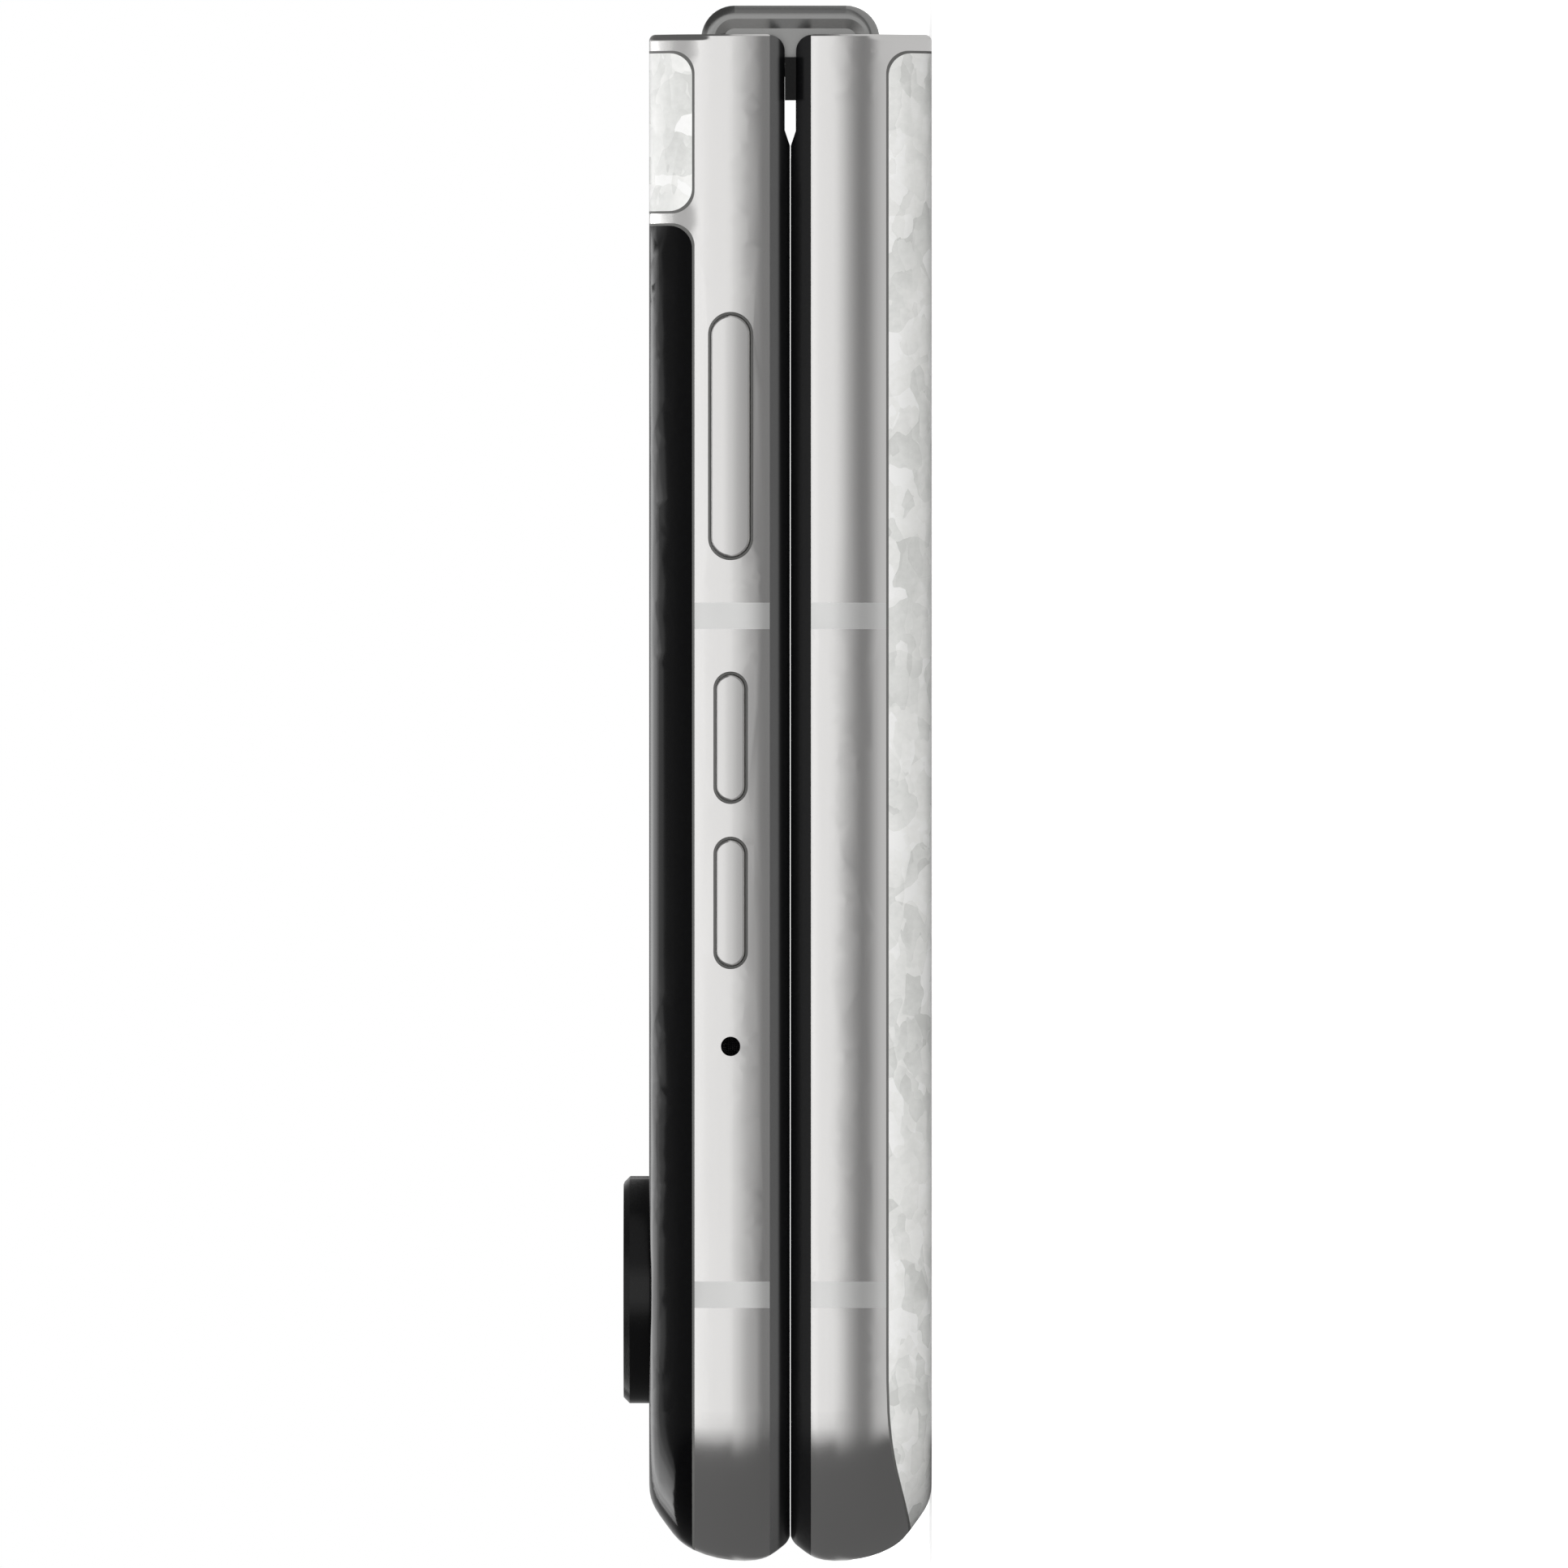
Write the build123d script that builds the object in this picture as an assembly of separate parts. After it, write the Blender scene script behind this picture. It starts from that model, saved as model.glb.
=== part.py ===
"""Folding phone, closed, lying on the back of its base half.

X runs along the phone with the hinge at +X, Y across it with the buttons at
-Y, Z up through the thickness. Millimetres.
"""
import os
from build123d import *

os.makedirs("parts", exist_ok=True)

# ---------------------------------------------------------------- main sizes
width = 74.0              # across, button side to tray side
half_length = 44.05       # from the middle of the closed phone to its free end
body_length = 86.45       # free end to the frames' hinge end
half_thickness = 8.0      # one half, up to the middle plane
corner_radius = 8.5       # corners of the free end, seen from above
rim_gap = 0.05            # between the two rims when closed
slot_gap = 0.64           # between the rims beside the hinge

# edge profile of a half: inset from the outermost line, and height
seam_height = 2.44        # back panel meets the frame
seam_inset = 0.66
rim_height = 1.14
rim_inset = 1.40          # rim's rounded edge ends here
crest_drop = 1.61         # frame stands out most this far below its top
frame_top_inset = 0.30
back_run = 4.3            # the back panel starts to curve here
back_rise = 0.9           # its height halfway along that curve

# shell
wall = 2.2                # inset of the inside of the frame's walls
panel_thickness = 0.8
panel_rim = 3.2           # inside of the panel's curved edge
ledge = 1.2               # bonding ledge inside that edge
shelf = 0.46              # joins the ledge to the wall, over the panel's edge
mid_plate = 0.75          # the frame's own plate
steel_plate = 0.40
screen_thickness = 0.65   # folding screen
screen_gap = 1.2          # between its two faces when closed
screen_inset = 3.2        # screen's edge, from the outermost line
screen_margin = 0.1       # between screen and rim
seam = 0.14               # dark adhesive seam between panel and frame
panel_corner = 1.3        # seam's corners, seen from the side
seam_fall = 12.0          # the base's seam drops over this length at the free end
lip = 0.92                # metal bar at the hinge end
lip_round = 0.35
end_bevel = 0.10          # round the frames' hinge ends
slot_length = 6.30        # rims draw back over this length at the hinge
slot_taper = 0.88
crossbar_wall = 1.5       # between cavity and hinge pocket

# hinge
open_gap = 0.10           # between the frames when open
spine_room = 0.26         # between the spine and the pocket round it
spine_lead = 0.375        # spine's open side, beyond the axes
spine_proud = 1.65        # spine stands out beyond the frames
spine_height = 10.1
spine_corner = 1.9
spine_wall = 0.55
cheek_wall = 2.05         # side cheeks beside the hinge
shoulder_radius = 0.92    # rounded ends of the rims
gear_thickness = 0.45
gear_teeth = 14
gear_play = 0.04
tooth_depth = 0.12
gear_side_play = 0.05
cap_gap = 0.10
cap_thickness = 0.45
cap_depth = 0.95          # of its pillowed end, behind the frames' hinge ends
cap_round = 0.55
bead_width = 0.75          # raised edge of the cap round its shallow dish
dish_slope, dish_depth = 0.55, 0.14
stub_radius = 0.35
hub_wall = 0.20
running_clearance = 0.05
leaf_play = 0.02          # between the screen's leaves and its middle strip
support_plate = 0.15
support_margin = 0.2
block_height = 6.2
block_wall = 1.5          # beside each groove
rail_inner = 1.20
rail_outer = 1.90
rail_clearance = 0.06
arm_thickness = 0.60
arm_width = 5.0
arm_foot = 3.0            # length of an arm's foot on the crossbar
arm_edge = 10.45          # from the cheek to the middle of the outer arms
arm_pitch = 8.0           # base's arms to the lid's arms
arm_notch = 0.62          # how far the spine's edge is cut back for an arm
arm_side_room = 0.3
bumper_width = 1.4
bumper_inset = 0.2
bumper_clearance = 0.01
bumper_start = 2.58       # from the start of the slot
far_bumper_start = 3.38
bumper_end = 0.42         # short of the axes

# buttons and holes in the lid, from the free end
button_height = 4.62      # above the back of its own half
button_clearance = 0.17
button_crown = 7.0         # radius of the face across the button
button_edge = 0.14
button_travel = 0.25
button_flange = 0.45
flange_thickness = 0.4
stem_reach = 0.2          # of the stem, before and behind the wall's inside
button_play = 0.03
flange_room = 0.1
switch_length, switch_thickness, flex_thickness = 3.2, 0.35, 0.3
power_start, power_length, power_width = 56.87, 13.7, 2.21
volume_up_start, volume_down_start = 43.08, 33.74
volume_length, volume_width = 7.15, 1.61
mic_at, mic_diameter = 29.2, 1.1
first_band, second_band = 14.4, 52.8
band_width = 1.5
band_depth = 0.9

# lid outside
strip_length = 8.93       # pearl strip beside the hinge
cross_strip = 0.55        # metal between that strip and the cover glass
rib_height = 2.6
camera_at = 15.3
camera_diameter = 12.8
camera_height = 1.46
camera_edge = 11.5        # from the button side to the first camera
camera_pitch = 16.0
camera_bevel = 0.35
lens_opening = 8.6
lens_thickness, lens_recess = 0.6, 0.25
pupil_radius = 2.2
barrel_diameter = 10.4
barrel_depth = 0.9
camera_case = 10.0
camera_room = 1.0
flash_pitch = 11.0
flash_diameter = 3.2
cover_display_thickness = 0.75
cover_display_side = 5.2
cover_display_end = 6.4
cover_display_hinge = 4.0
cover_display_cut = 1.4

# inside
board_reach = 33.0        # boards end here, from the free end
board_thickness = 0.8
board_inset = 2.5         # from the free end's wall
board_side = 1.6          # from the wall on the button side
board_gap = 0.2
battery_gap = 0.35
battery_from_board = 1.0
battery_thickness = 3.6
battery_side = 3.8        # from the side walls
battery_corner = 1.0
rib_room = 0.85           # lid's battery stops short of the rib
plate_screw_first, plate_screw_second, plate_screw_side = 10.0, 34.0, 6.0
screw_head = 2.2
screw_shank = 1.2
screw_depth = 1.6
screw_play = 0.1
coil_outer, coil_inner, coil_thickness = 21.0, 10.5, 0.45
magnet_length, magnet_width, magnet_thickness = 2.4, 6.0, 1.2
magnet_end, magnet_side = 0.65, 4.2
motor_length, motor_width, motor_end, motor_side = 7.8, 8.0, 4.2, 8.8
earpiece_length, earpiece_width, earpiece_at = 4.4, 12.0, 12.0
selfie_length, selfie_width, selfie_at = 4.4, 4.8, 6.6
front_part_thickness = 1.6
chip_cover_at, chip_cover_length, chip_cover_width = 24.0, 8.0, 24.0
radio_cover_at, radio_cover_length, radio_cover_width = 9.0, 22.0, 24.0
chip_cover_side, radio_cover_side = 6.8, 4.8

# port, tray and speaker in the base, heights above its back
port_height, port_width, port_thick, port_depth = 3.9, 8.94, 3.2, 7.4
port_wall, port_mouth, port_back = 0.35, 1.2, 0.8
port_tongue_width, port_tongue_thick, port_tongue_start = 6.6, 0.7, 2.0
tray_start, tray_length, tray_z, tray_thick = 17.0, 13.0, 4.55, 0.9
tray_reach = 16.0
tray_cap_height = 1.9
tray_clearance = 0.08
tray_shoulder = 1.5
card_margin, card_depth = 1.1, 0.6
reader_gap, reader_wall = 0.10, 0.3
speaker_length, speaker_width, speaker_gap = 9.0, 17.4, 0.7
grille_start, grille_pitch, grille_hole, grille_count = 2.2, 2.6, 1.2, 6

# ---------------------------------------------------------------- worked out
free_end = -half_length
frame_end = free_end + body_length
half_width = width / 2
flat_top = half_thickness - rim_gap / 2
slot_top = half_thickness - slot_gap / 2
frame_top = flat_top - rim_height
crest_height = frame_top - crest_drop
screen_front = half_thickness - screen_gap / 2
screen_back = screen_front - screen_thickness
plate_top = screen_back - steel_plate
plate_bottom = plate_top - mid_plate
axis_spacing = screen_gap + screen_thickness      # the axes lie in the screen's neutral plane
axis_low = half_thickness - axis_spacing / 2
hinge_x = frame_end - (axis_spacing - open_gap) / 2
leaf_radius = screen_thickness / 2
pocket_radius = ((spine_height / 2 - axis_spacing / 2) ** 2 + spine_lead ** 2) ** 0.5 + spine_room
pocket_start = hinge_x - pocket_radius
crossbar_start = pocket_start - crossbar_wall
spine_depth_start = hinge_x + spine_lead
spine_end = frame_end + spine_proud
block_front = hinge_x + leaf_radius + support_plate
block_back = spine_end - spine_wall
cheek = half_width - cheek_wall
cap_outer = cheek - cap_gap
cap_inner = cap_outer - cap_thickness
cover_side = cap_outer - cap_depth
gear_outer = cap_inner - gear_side_play
gear_inner = gear_outer - gear_thickness
base_arm_at = cheek - arm_edge
lid_arm_at = base_arm_at - arm_pitch
block_start = lid_arm_at - arm_width / 2 - block_wall
block_end = base_arm_at + arm_width / 2 + block_wall
slot_start = frame_end - slot_length
slot_full = slot_start + slot_taper
panel_end = frame_end - lip
cavity_x = free_end + wall
board_height = seam_height + seam + shelf         # boards lie on the shelf
board_end = free_end + board_reach
camera_x = free_end + camera_at
camera_y = (-half_width + camera_edge, -half_width + camera_edge + camera_pitch)
flash_y = camera_y[1] + flash_pitch
tray_x0 = free_end + tray_start
tray_x1 = tray_x0 + tray_length
speaker_x0, speaker_x1 = cavity_x, cavity_x + speaker_length
speaker_y1 = half_width - wall - magnet_side - magnet_width - speaker_gap
speaker_y0 = speaker_y1 - speaker_width
MIRROR = Plane.XY.offset(half_thickness)


# ------------------------------------------------------------------- helpers
def box(x0, x1, y0, y1, z0, z1):
    """Box between two corners."""
    return Pos((x0 + x1) / 2, (y0 + y1) / 2, (z0 + z1) / 2) * Box(
        abs(x1 - x0), abs(y1 - y0), abs(z1 - z0))


def side_prism(points, y0, y1):
    """Outline in X and Z, pushed across the phone."""
    face = make_face(Polyline(*points, close=True))
    return side_push(face, y0, y1)


def side_push(face, y0, y1):
    """Face drawn in X and Z, pushed from y0 to y1."""
    solid = extrude(Plane.XZ * face, amount=y1 - y0)
    return Pos(0, y1, 0) * solid


def rod(x, z, radius, y0, y1):
    """Round bar across the phone."""
    return Pos(x, (y0 + y1) / 2, z) * Rot(90, 0, 0) * Cylinder(radius, abs(y1 - y0))


def upright(x, y, radius, z0, z1):
    """Round bar that stands up."""
    return Pos(x, y, (z0 + z1) / 2) * Cylinder(radius, abs(z1 - z0))


def plan_block(inset, x_end, z0, z1):
    """Block with the phone's plan outline, set in all round, cut at x_end."""
    radius = corner_radius - inset
    x0 = free_end + inset
    w = half_width - inset
    line = Polyline((x_end, -w), (x0 + radius, -w))
    arc_a = ThreePointArc((x0 + radius, -w), (x0 + radius * (1 - 0.5 ** 0.5),
                          -w + radius * (1 - 0.5 ** 0.5)), (x0, -w + radius))
    end = Polyline((x0, -w + radius), (x0, w - radius))
    arc_b = ThreePointArc((x0, w - radius), (x0 + radius * (1 - 0.5 ** 0.5),
                          w - radius * (1 - 0.5 ** 0.5)), (x0 + radius, w))
    back = Polyline((x0 + radius, w), (x_end, w), (x_end, -w))
    face = make_face([line, arc_a, end, arc_b, back])
    return Pos(0, 0, z0) * extrude(face, amount=z1 - z0)


def to_lid(shape):
    """The same shape in the upper half."""
    return mirror(shape, about=MIRROR)


def both_sides(make):
    """One piece on each side of the phone."""
    right = make()
    return right, mirror(right, about=Plane.XZ)


def save(shape, name):
    shape.label = name
    solids = shape.solids()
    print(name, len(solids), "solids", round(sum(s.volume for s in solids), 2))
    export_step(shape, f"parts/{name}.step")


# ------------------------------------------------------- envelope of one half
def edge_section():
    """Section of the rounded edge, from the outermost line inwards."""
    deep = corner_radius
    back = Spline(
        (back_run, 0.0), (back_run / 2, back_rise), (back_run / 4, 2 * back_rise),
        (seam_inset, seam_height), (seam_inset / 5, (seam_height + crest_height) / 2 + 0.18),
        (0.0, crest_height), (frame_top_inset, frame_top),
        (0.54 * rim_inset, (frame_top + flat_top) / 2 + 0.07), (rim_inset, flat_top),
        tangents=((-1, 0), (1, 0.35)))
    rest = Polyline((rim_inset, flat_top), (deep, flat_top), (deep, 0.0), (back_run, 0.0))
    return make_face([back, rest])


def make_envelope():
    """Whole outside of a half, without its hinge details."""
    r = corner_radius
    section = edge_section()
    bevel_start = frame_end - end_bevel
    straight = Plane((bevel_start, -half_width, 0), x_dir=(0, 1, 0), z_dir=(1, 0, 0)) * section
    side = extrude(straight, amount=-(body_length - end_bevel - r))
    side += extrude(straight, amount=end_bevel * 2 ** 0.5, dir=(1, 1, 0))
    corner = revolve(
        Plane((free_end + r, -half_width, 0), x_dir=(0, 1, 0), z_dir=(1, 0, 0)) * section,
        Axis((free_end + r, -half_width + r, 0), (0, 0, 1)), -90)
    end = extrude(
        Plane((free_end, -half_width + r, 0), x_dir=(1, 0, 0), z_dir=(0, -1, 0)) * section,
        amount=-(half_width - r))
    quarter = side + corner + end
    other = mirror(quarter, about=Plane.XZ)
    middle = box(free_end + r, frame_end, -half_width + r, half_width - r, 0, flat_top)
    return quarter + other + middle


def side_outline():
    """Outline of a half seen from the side, with the rim's rounded shoulder."""
    shoulder_x = frame_end - shoulder_radius - 0.03
    s = 0.5 ** 0.5 * shoulder_radius
    low = slot_top - shoulder_radius
    e = lip_round
    base = Polyline((free_end - 1, -1), (frame_end - e, -1), (frame_end - e, 0))
    foot = ThreePointArc((frame_end - e, 0), (frame_end - e * (1 - 0.5 ** 0.5), e * (1 - 0.5 ** 0.5)),
                         (frame_end, e))
    up = Polyline((frame_end, e), (frame_end, low), (shoulder_x + shoulder_radius, low))
    arc = ThreePointArc((shoulder_x + shoulder_radius, low), (shoulder_x + s, low + s),
                        (shoulder_x, slot_top))
    top = Polyline((shoulder_x, slot_top), (slot_full, slot_top), (slot_start, flat_top + 0.001),
                   (free_end - 1, flat_top + 0.001), (free_end - 1, -1))
    return make_face([base, foot, up, arc, top])


def trimmed_envelope():
    trim = side_push(side_outline(), -half_width - 1, half_width + 1)
    return make_envelope() & trim


# ------------------------------------------------------------ region of panels
def panel_region(x0, x1, grow, drop_at_end):
    """Side view of a back panel, pushed across: below the seam from x0 to x1."""
    h = seam_height + grow
    r = panel_corner
    a, b = x0 - grow, x1 + grow
    k = r * (1 - 0.5 ** 0.5)
    right = ThreePointArc((b - r, h), (b - k, h - k), (b, h - r))
    down = Polyline((b, h - r), (b, -2), (a, -2))
    if x0 > free_end:
        left = ThreePointArc((a, h - r), (a + k, h - k), (a + r, h))
        face = make_face([right, down, Polyline((a, -2), (a, h - r)), left,
                          Polyline((a + r, h), (b - r, h))])
    elif drop_at_end:
        f, end = seam_fall, free_end - 1
        low = 0.35 * seam_height + grow
        fall = Spline((free_end + f, h), (free_end + 0.47 * f, 0.83 * seam_height + grow),
                      (free_end + f / 6, 0.49 * seam_height + grow), (end, low),
                      tangents=((-1, 0), (-1, -0.15)))
        face = make_face([right, down, Polyline((a, -2), (end, -2), (end, low)),
                          fall, Polyline((free_end + f, h), (b - r, h))])
    else:
        face = make_face([right, down, Polyline((a, -2), (a, h), (b - r, h))])
    return side_push(face, -half_width - 1, half_width + 1)


def panel_core(x0, x1):
    """Hollow of a back panel, above its flat part."""
    return plan_block(panel_rim, x1 + 1, panel_thickness, seam_height + 1)


def back_panel(envelope, x0, x1, drop_at_end):
    """Panel whose edges curve up to the seam."""
    inside = panel_core(x0, x1)
    return (envelope & panel_region(x0, x1, 0, drop_at_end)) - inside


def frame_panel_cut(x0, x1, drop_at_end):
    """What a panel takes from the frame: its flat part, its edges and the seam."""
    region = panel_region(x0, x1, seam, drop_at_end)
    return region - plan_block(panel_rim, x1 + 5, panel_thickness, seam_height + 2)


def panel_seal(panels):
    """Adhesive that fills the seams round a half's back panels."""
    seal = None
    for x0, x1, drop in panels:
        strip = (ENVELOPE & frame_panel_cut(x0, x1, drop)) - panel_region(x0, x1, 0, drop)
        seal = strip if seal is None else seal + strip
    return seal


# ------------------------------------------------------------------ one frame
def frame_blank(envelope, panels):
    """Frame of a half with its cavity, mid plate and hinge bar."""
    body = envelope & box(free_end - 1, frame_end + 1, -half_width - 1, half_width + 1, -1, frame_top)
    for x0, x1, drop in panels:
        body -= frame_panel_cut(x0, x1, drop)
    body -= plan_block(panel_rim + ledge, crossbar_start, panel_thickness - 1, board_height)
    body -= plan_block(wall, crossbar_start, board_height, plate_bottom)
    body -= plan_block(screen_inset - screen_margin, frame_end + 1, plate_top, half_thickness)
    body -= hinge_pocket()
    for x, y in plate_screw_points():
        body -= upright(x, y, screw_shank / 2, plate_bottom - 1, plate_top + 1)
    return body


def hinge_pocket():
    room = rod(hinge_x, axis_low, pocket_radius, -cheek, cheek)
    room &= box(pocket_start, frame_end + 10, -half_width, half_width, -5, 20)
    return room + box(pocket_start, frame_end + 1, -cheek, cheek, plate_top, half_thickness)


def bezel(envelope):
    """Dark rim round the screen."""
    ring = envelope & box(free_end - 1, frame_end + 1, -half_width - 1, half_width + 1,
                          frame_top, half_thickness)
    ring -= plan_block(screen_inset - screen_margin, frame_end + 1, 0, half_thickness + 1)
    return ring - box(pocket_start, frame_end + 1, -cheek, cheek, plate_top, half_thickness + 1)


def band_boxes(z_low):
    """Room of the antenna bands on both sides."""
    bands = None
    for start in (first_band, second_band):
        x = free_end + start
        for sign in (-1, 1):
            b = box(x, x + band_width, sign * (half_width - band_depth), sign * (half_width + 1),
                    z_low, frame_top)
            bands = b if bands is None else bands + b
    return bands


def plate_screw_points():
    side = half_width - plate_screw_side
    return [(free_end + x, y) for x in (plate_screw_first, plate_screw_second) for y in (-side, side)]


def display_plate():
    """Steel plate behind the screen."""
    plate = plan_block(screen_inset, pocket_start - arm_side_room, plate_top, screen_back)
    for x, y in plate_screw_points():
        plate -= upright(x, y, screw_head / 2 + screw_play, plate_top, screen_back)
    return plate


def plate_screws():
    """Screws that hold the steel plate's frame to the inside."""
    out = None
    for x, y in plate_screw_points():
        s = upright(x, y, screw_head / 2, plate_top, screen_back)
        s += upright(x, y, screw_shank / 2, plate_bottom, plate_top)
        out = s if out is None else out + s
    return out


def screen_leaf():
    """Flat part of the folding screen on one half, rounded where it hinges."""
    t = leaf_radius
    leaf = plan_block(screen_inset, hinge_x, screen_back, screen_front)
    return leaf + rod(hinge_x, axis_low, t, -(half_width - screen_inset), half_width - screen_inset)


# ---------------------------------------------------------------------- hinge
def gear_outline(shift):
    """Round gear that meets its twin halfway between the axes."""
    pitch = axis_spacing / 2
    depth = tooth_depth
    points = []
    for i in range(gear_teeth):
        for part, r in ((0.0, -depth), (0.18, -depth), (0.36, depth - gear_play),
                        (0.64, depth - gear_play), (0.82, -depth)):
            angle = (i + part + shift) * 360 / gear_teeth
            v = Vector(pitch + r, 0).rotate(Axis.Z, angle)
            points.append((v.X, v.Y))
    return make_face(Polyline(*points, close=True))


def sync_gear(z, shift):
    """Gear on a short shaft that is fixed to a cheek and turns in the spine's end cap."""
    face = Pos(hinge_x, z) * gear_outline(shift)
    gear = side_push(face, gear_inner, gear_outer)
    return gear + rod(hinge_x, z, stub_radius, gear_outer, cheek)


def spine_section(inset, x_open):
    """Rounded bar section, set in, open or closed towards the phone."""
    h = spine_height / 2 - inset
    r = spine_corner - inset
    x1 = spine_end - inset
    k = r * (1 - 0.5 ** 0.5)
    low, high = half_thickness - h, half_thickness + h
    a = Polyline((x_open, low), (x1 - r, low))
    b = ThreePointArc((x1 - r, low), (x1 - k, low + k), (x1, low + r))
    c = Polyline((x1, low + r), (x1, high - r))
    d = ThreePointArc((x1, high - r), (x1 - k, high - k), (x1 - r, high))
    e = Polyline((x1 - r, high), (x_open, high), (x_open, low))
    return make_face([a, b, c, d, e])


def spine_cover():
    """Channel that closes the back of the fold."""
    outer = side_push(spine_section(0, spine_depth_start), -cover_side, cover_side)
    inner = side_push(spine_section(spine_wall, spine_depth_start - 2), -cover_side - 1, cover_side + 1)
    cover = outer - inner
    reach = spine_depth_start + arm_notch
    side = arm_width / 2 + arm_side_room
    low = half_thickness - spine_height / 2
    for sign in (-1, 1):
        y = sign * base_arm_at
        cover -= box(spine_depth_start - 1, reach, y - side, y + side, low - 1, low + 1.5)
        y = sign * lid_arm_at
        cover -= to_lid(box(spine_depth_start - 1, reach, y - side, y + side, low - 1, low + 1.5))
    return cover


def cap_dish():
    """Shallow dish with a sloping edge in the cap's outer face."""
    top = Plane.XZ * spine_section(bead_width, 0)
    bottom = Plane.XZ * spine_section(bead_width + dish_slope, 0)
    return loft([Pos(0, cap_outer, 0) * top, Pos(0, cap_outer - dish_depth, 0) * bottom])


def end_cap():
    """Beaded and dished cap at +Y with a bore for each half's gear shaft and room for the gears."""
    cap = side_push(spine_section(0, spine_depth_start), cover_side, cap_outer)
    rim = [e for e in cap.edges() if e.bounding_box().min.Y > cap_outer - 0.01
           and e.bounding_box().max.X > spine_depth_start + 0.01]
    cap = fillet(rim, cap_round)
    upper = 2 * half_thickness - axis_low
    reach = stub_radius + running_clearance + hub_wall
    cap += box(hinge_x - reach, spine_depth_start + 1, cap_inner, cap_outer, axis_low - reach, upper + reach)
    tip = axis_spacing / 2 + tooth_depth + running_clearance
    for z in (axis_low, upper):
        cap -= rod(hinge_x, z, tip, cover_side - 1, cap_inner)
        cap -= rod(hinge_x, z, stub_radius + running_clearance, cover_side, cap_outer + 1)
    return cap - cap_dish()


def rail_ring(r0, r1, y0, y1):
    return rod(hinge_x, axis_low, r1, y0, y1) - rod(hinge_x, axis_low, r0, y0 - 1, y1 + 1)


def hinge_arm(y):
    """Arm screwed to a half, with a curved rail that slides in the hinge block."""
    y0, y1 = y - arm_width / 2, y + arm_width / 2
    ring = rail_ring(rail_inner, rail_outer, y0, y1)
    keep = side_prism([(hinge_x, screen_back), (hinge_x - 6, screen_back), (hinge_x - 6, 0),
                       (hinge_x + 6, 0), (hinge_x + 6, axis_low - 3.46)], y0 - 1, y1 + 1)
    rail = ring & keep
    top = screen_back
    joint = (rail_inner + rail_outer) / 2 - 0.1
    leaf = box(pocket_start - 0.1, hinge_x - joint, y0, y1, top - arm_thickness, top)
    base = box(pocket_start - arm_foot, pocket_start + 0.2, y0, y1, plate_top - arm_thickness, plate_top)
    arm = rail + leaf + base
    for x in arm_screw_x():
        arm -= upright(x, y, screw_shank / 2, 0, screen_back)
    return arm


def arm_screw_x():
    return ((crossbar_start + pocket_start) / 2,)


def arm_recess(y):
    """Room for an arm in the frame."""
    return box(pocket_start - arm_foot, pocket_start + 1, y - arm_width / 2, y + arm_width / 2,
               plate_top - arm_thickness, plate_top + 1)


def arm_screws(ys):
    out = None
    for y in ys:
        for x in arm_screw_x():
            s = upright(x, y, screw_shank / 2, plate_top - arm_thickness - screw_depth, plate_top)
            out = s if out is None else out + s
    return out


def hinge_block():
    """Block at +Y with a curved groove for each arm's rail."""
    z0 = half_thickness - block_height / 2
    block = box(block_front, block_back, block_start, block_end, z0,
                2 * half_thickness - z0)
    block -= groove(base_arm_at)
    return block - to_lid(groove(lid_arm_at))


def groove(y):
    y0 = y - arm_width / 2 - rail_clearance
    y1 = y + arm_width / 2 + rail_clearance
    ring = rail_ring(rail_inner - rail_clearance, rail_outer + rail_clearance, y0, y1)
    reach = hinge_x + leaf_radius + arm_thickness + 2 * rail_clearance
    swing = box(block_front - 1, reach, y0, y1, -5, axis_low - rail_inner)
    return ring + swing


def fold_support():
    """Narrow plate that backs the screen along the fold."""
    z = axis_spacing / 2 - support_margin
    side = gear_inner - gear_side_play
    return box(hinge_x + leaf_radius, block_front, -side, side,
               half_thickness - z, half_thickness + z)


def screen_fold():
    """Middle strip of the folding screen, hollowed for the rounded leaves."""
    t = leaf_radius
    w = half_width - screen_inset
    half = box(hinge_x - t, hinge_x + t, -w, w, axis_low, half_thickness)
    half -= rod(hinge_x, axis_low, t + leaf_play, -w - 1, w + 1)
    half -= box(hinge_x - t - 1, hinge_x, -w - 1, w + 1, axis_low - 1, axis_low + t + leaf_play)
    return half + to_lid(half)


# -------------------------------------------------------------------- buttons
def stadium(x0, long, tall, grow, y0, y1):
    """Long rounded bar set across the lid's wall."""
    face = SlotOverall(long + 2 * grow, tall + 2 * grow)
    z = 2 * half_thickness - button_height
    return side_push(Pos(x0 + long / 2, z) * face, y0, y1)


def button_cut(x0, long, tall):
    return stadium(x0, long, tall, button_clearance, -half_width - 1, -(half_width - wall - 1))


def button(x0, long, tall):
    """Crowned cap that shows, with a flange that keeps it in."""
    inner = -(half_width - wall)
    low, high = button_room()
    z = 2 * half_thickness - button_height
    crown = Pos(x0 + long / 2, button_crown - half_width, z)
    cap = stadium(x0, long, tall, 0, -half_width - 1, inner) & (
        crown * Rot(0, 90, 0) * Cylinder(button_crown, long + 1))
    cap = fillet(cap.faces().sort_by(Axis.Y)[0].edges(), button_edge)
    stem = box(x0 + tall / 2, x0 + long - tall / 2, inner - stem_reach, inner + stem_reach,
               max(low, z - tall / 2), min(high, z + tall / 2))
    flange = box(x0 - button_flange, x0 + long + button_flange, inner + button_play,
                 inner + button_play + flange_thickness, low, high)
    return cap + stem + flange


def button_room():
    """Height of what stands behind the buttons, between mid plate and shelf."""
    top = 2 * half_thickness
    return top - plate_bottom + flange_room, top - board_height - shelf - flange_room


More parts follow.
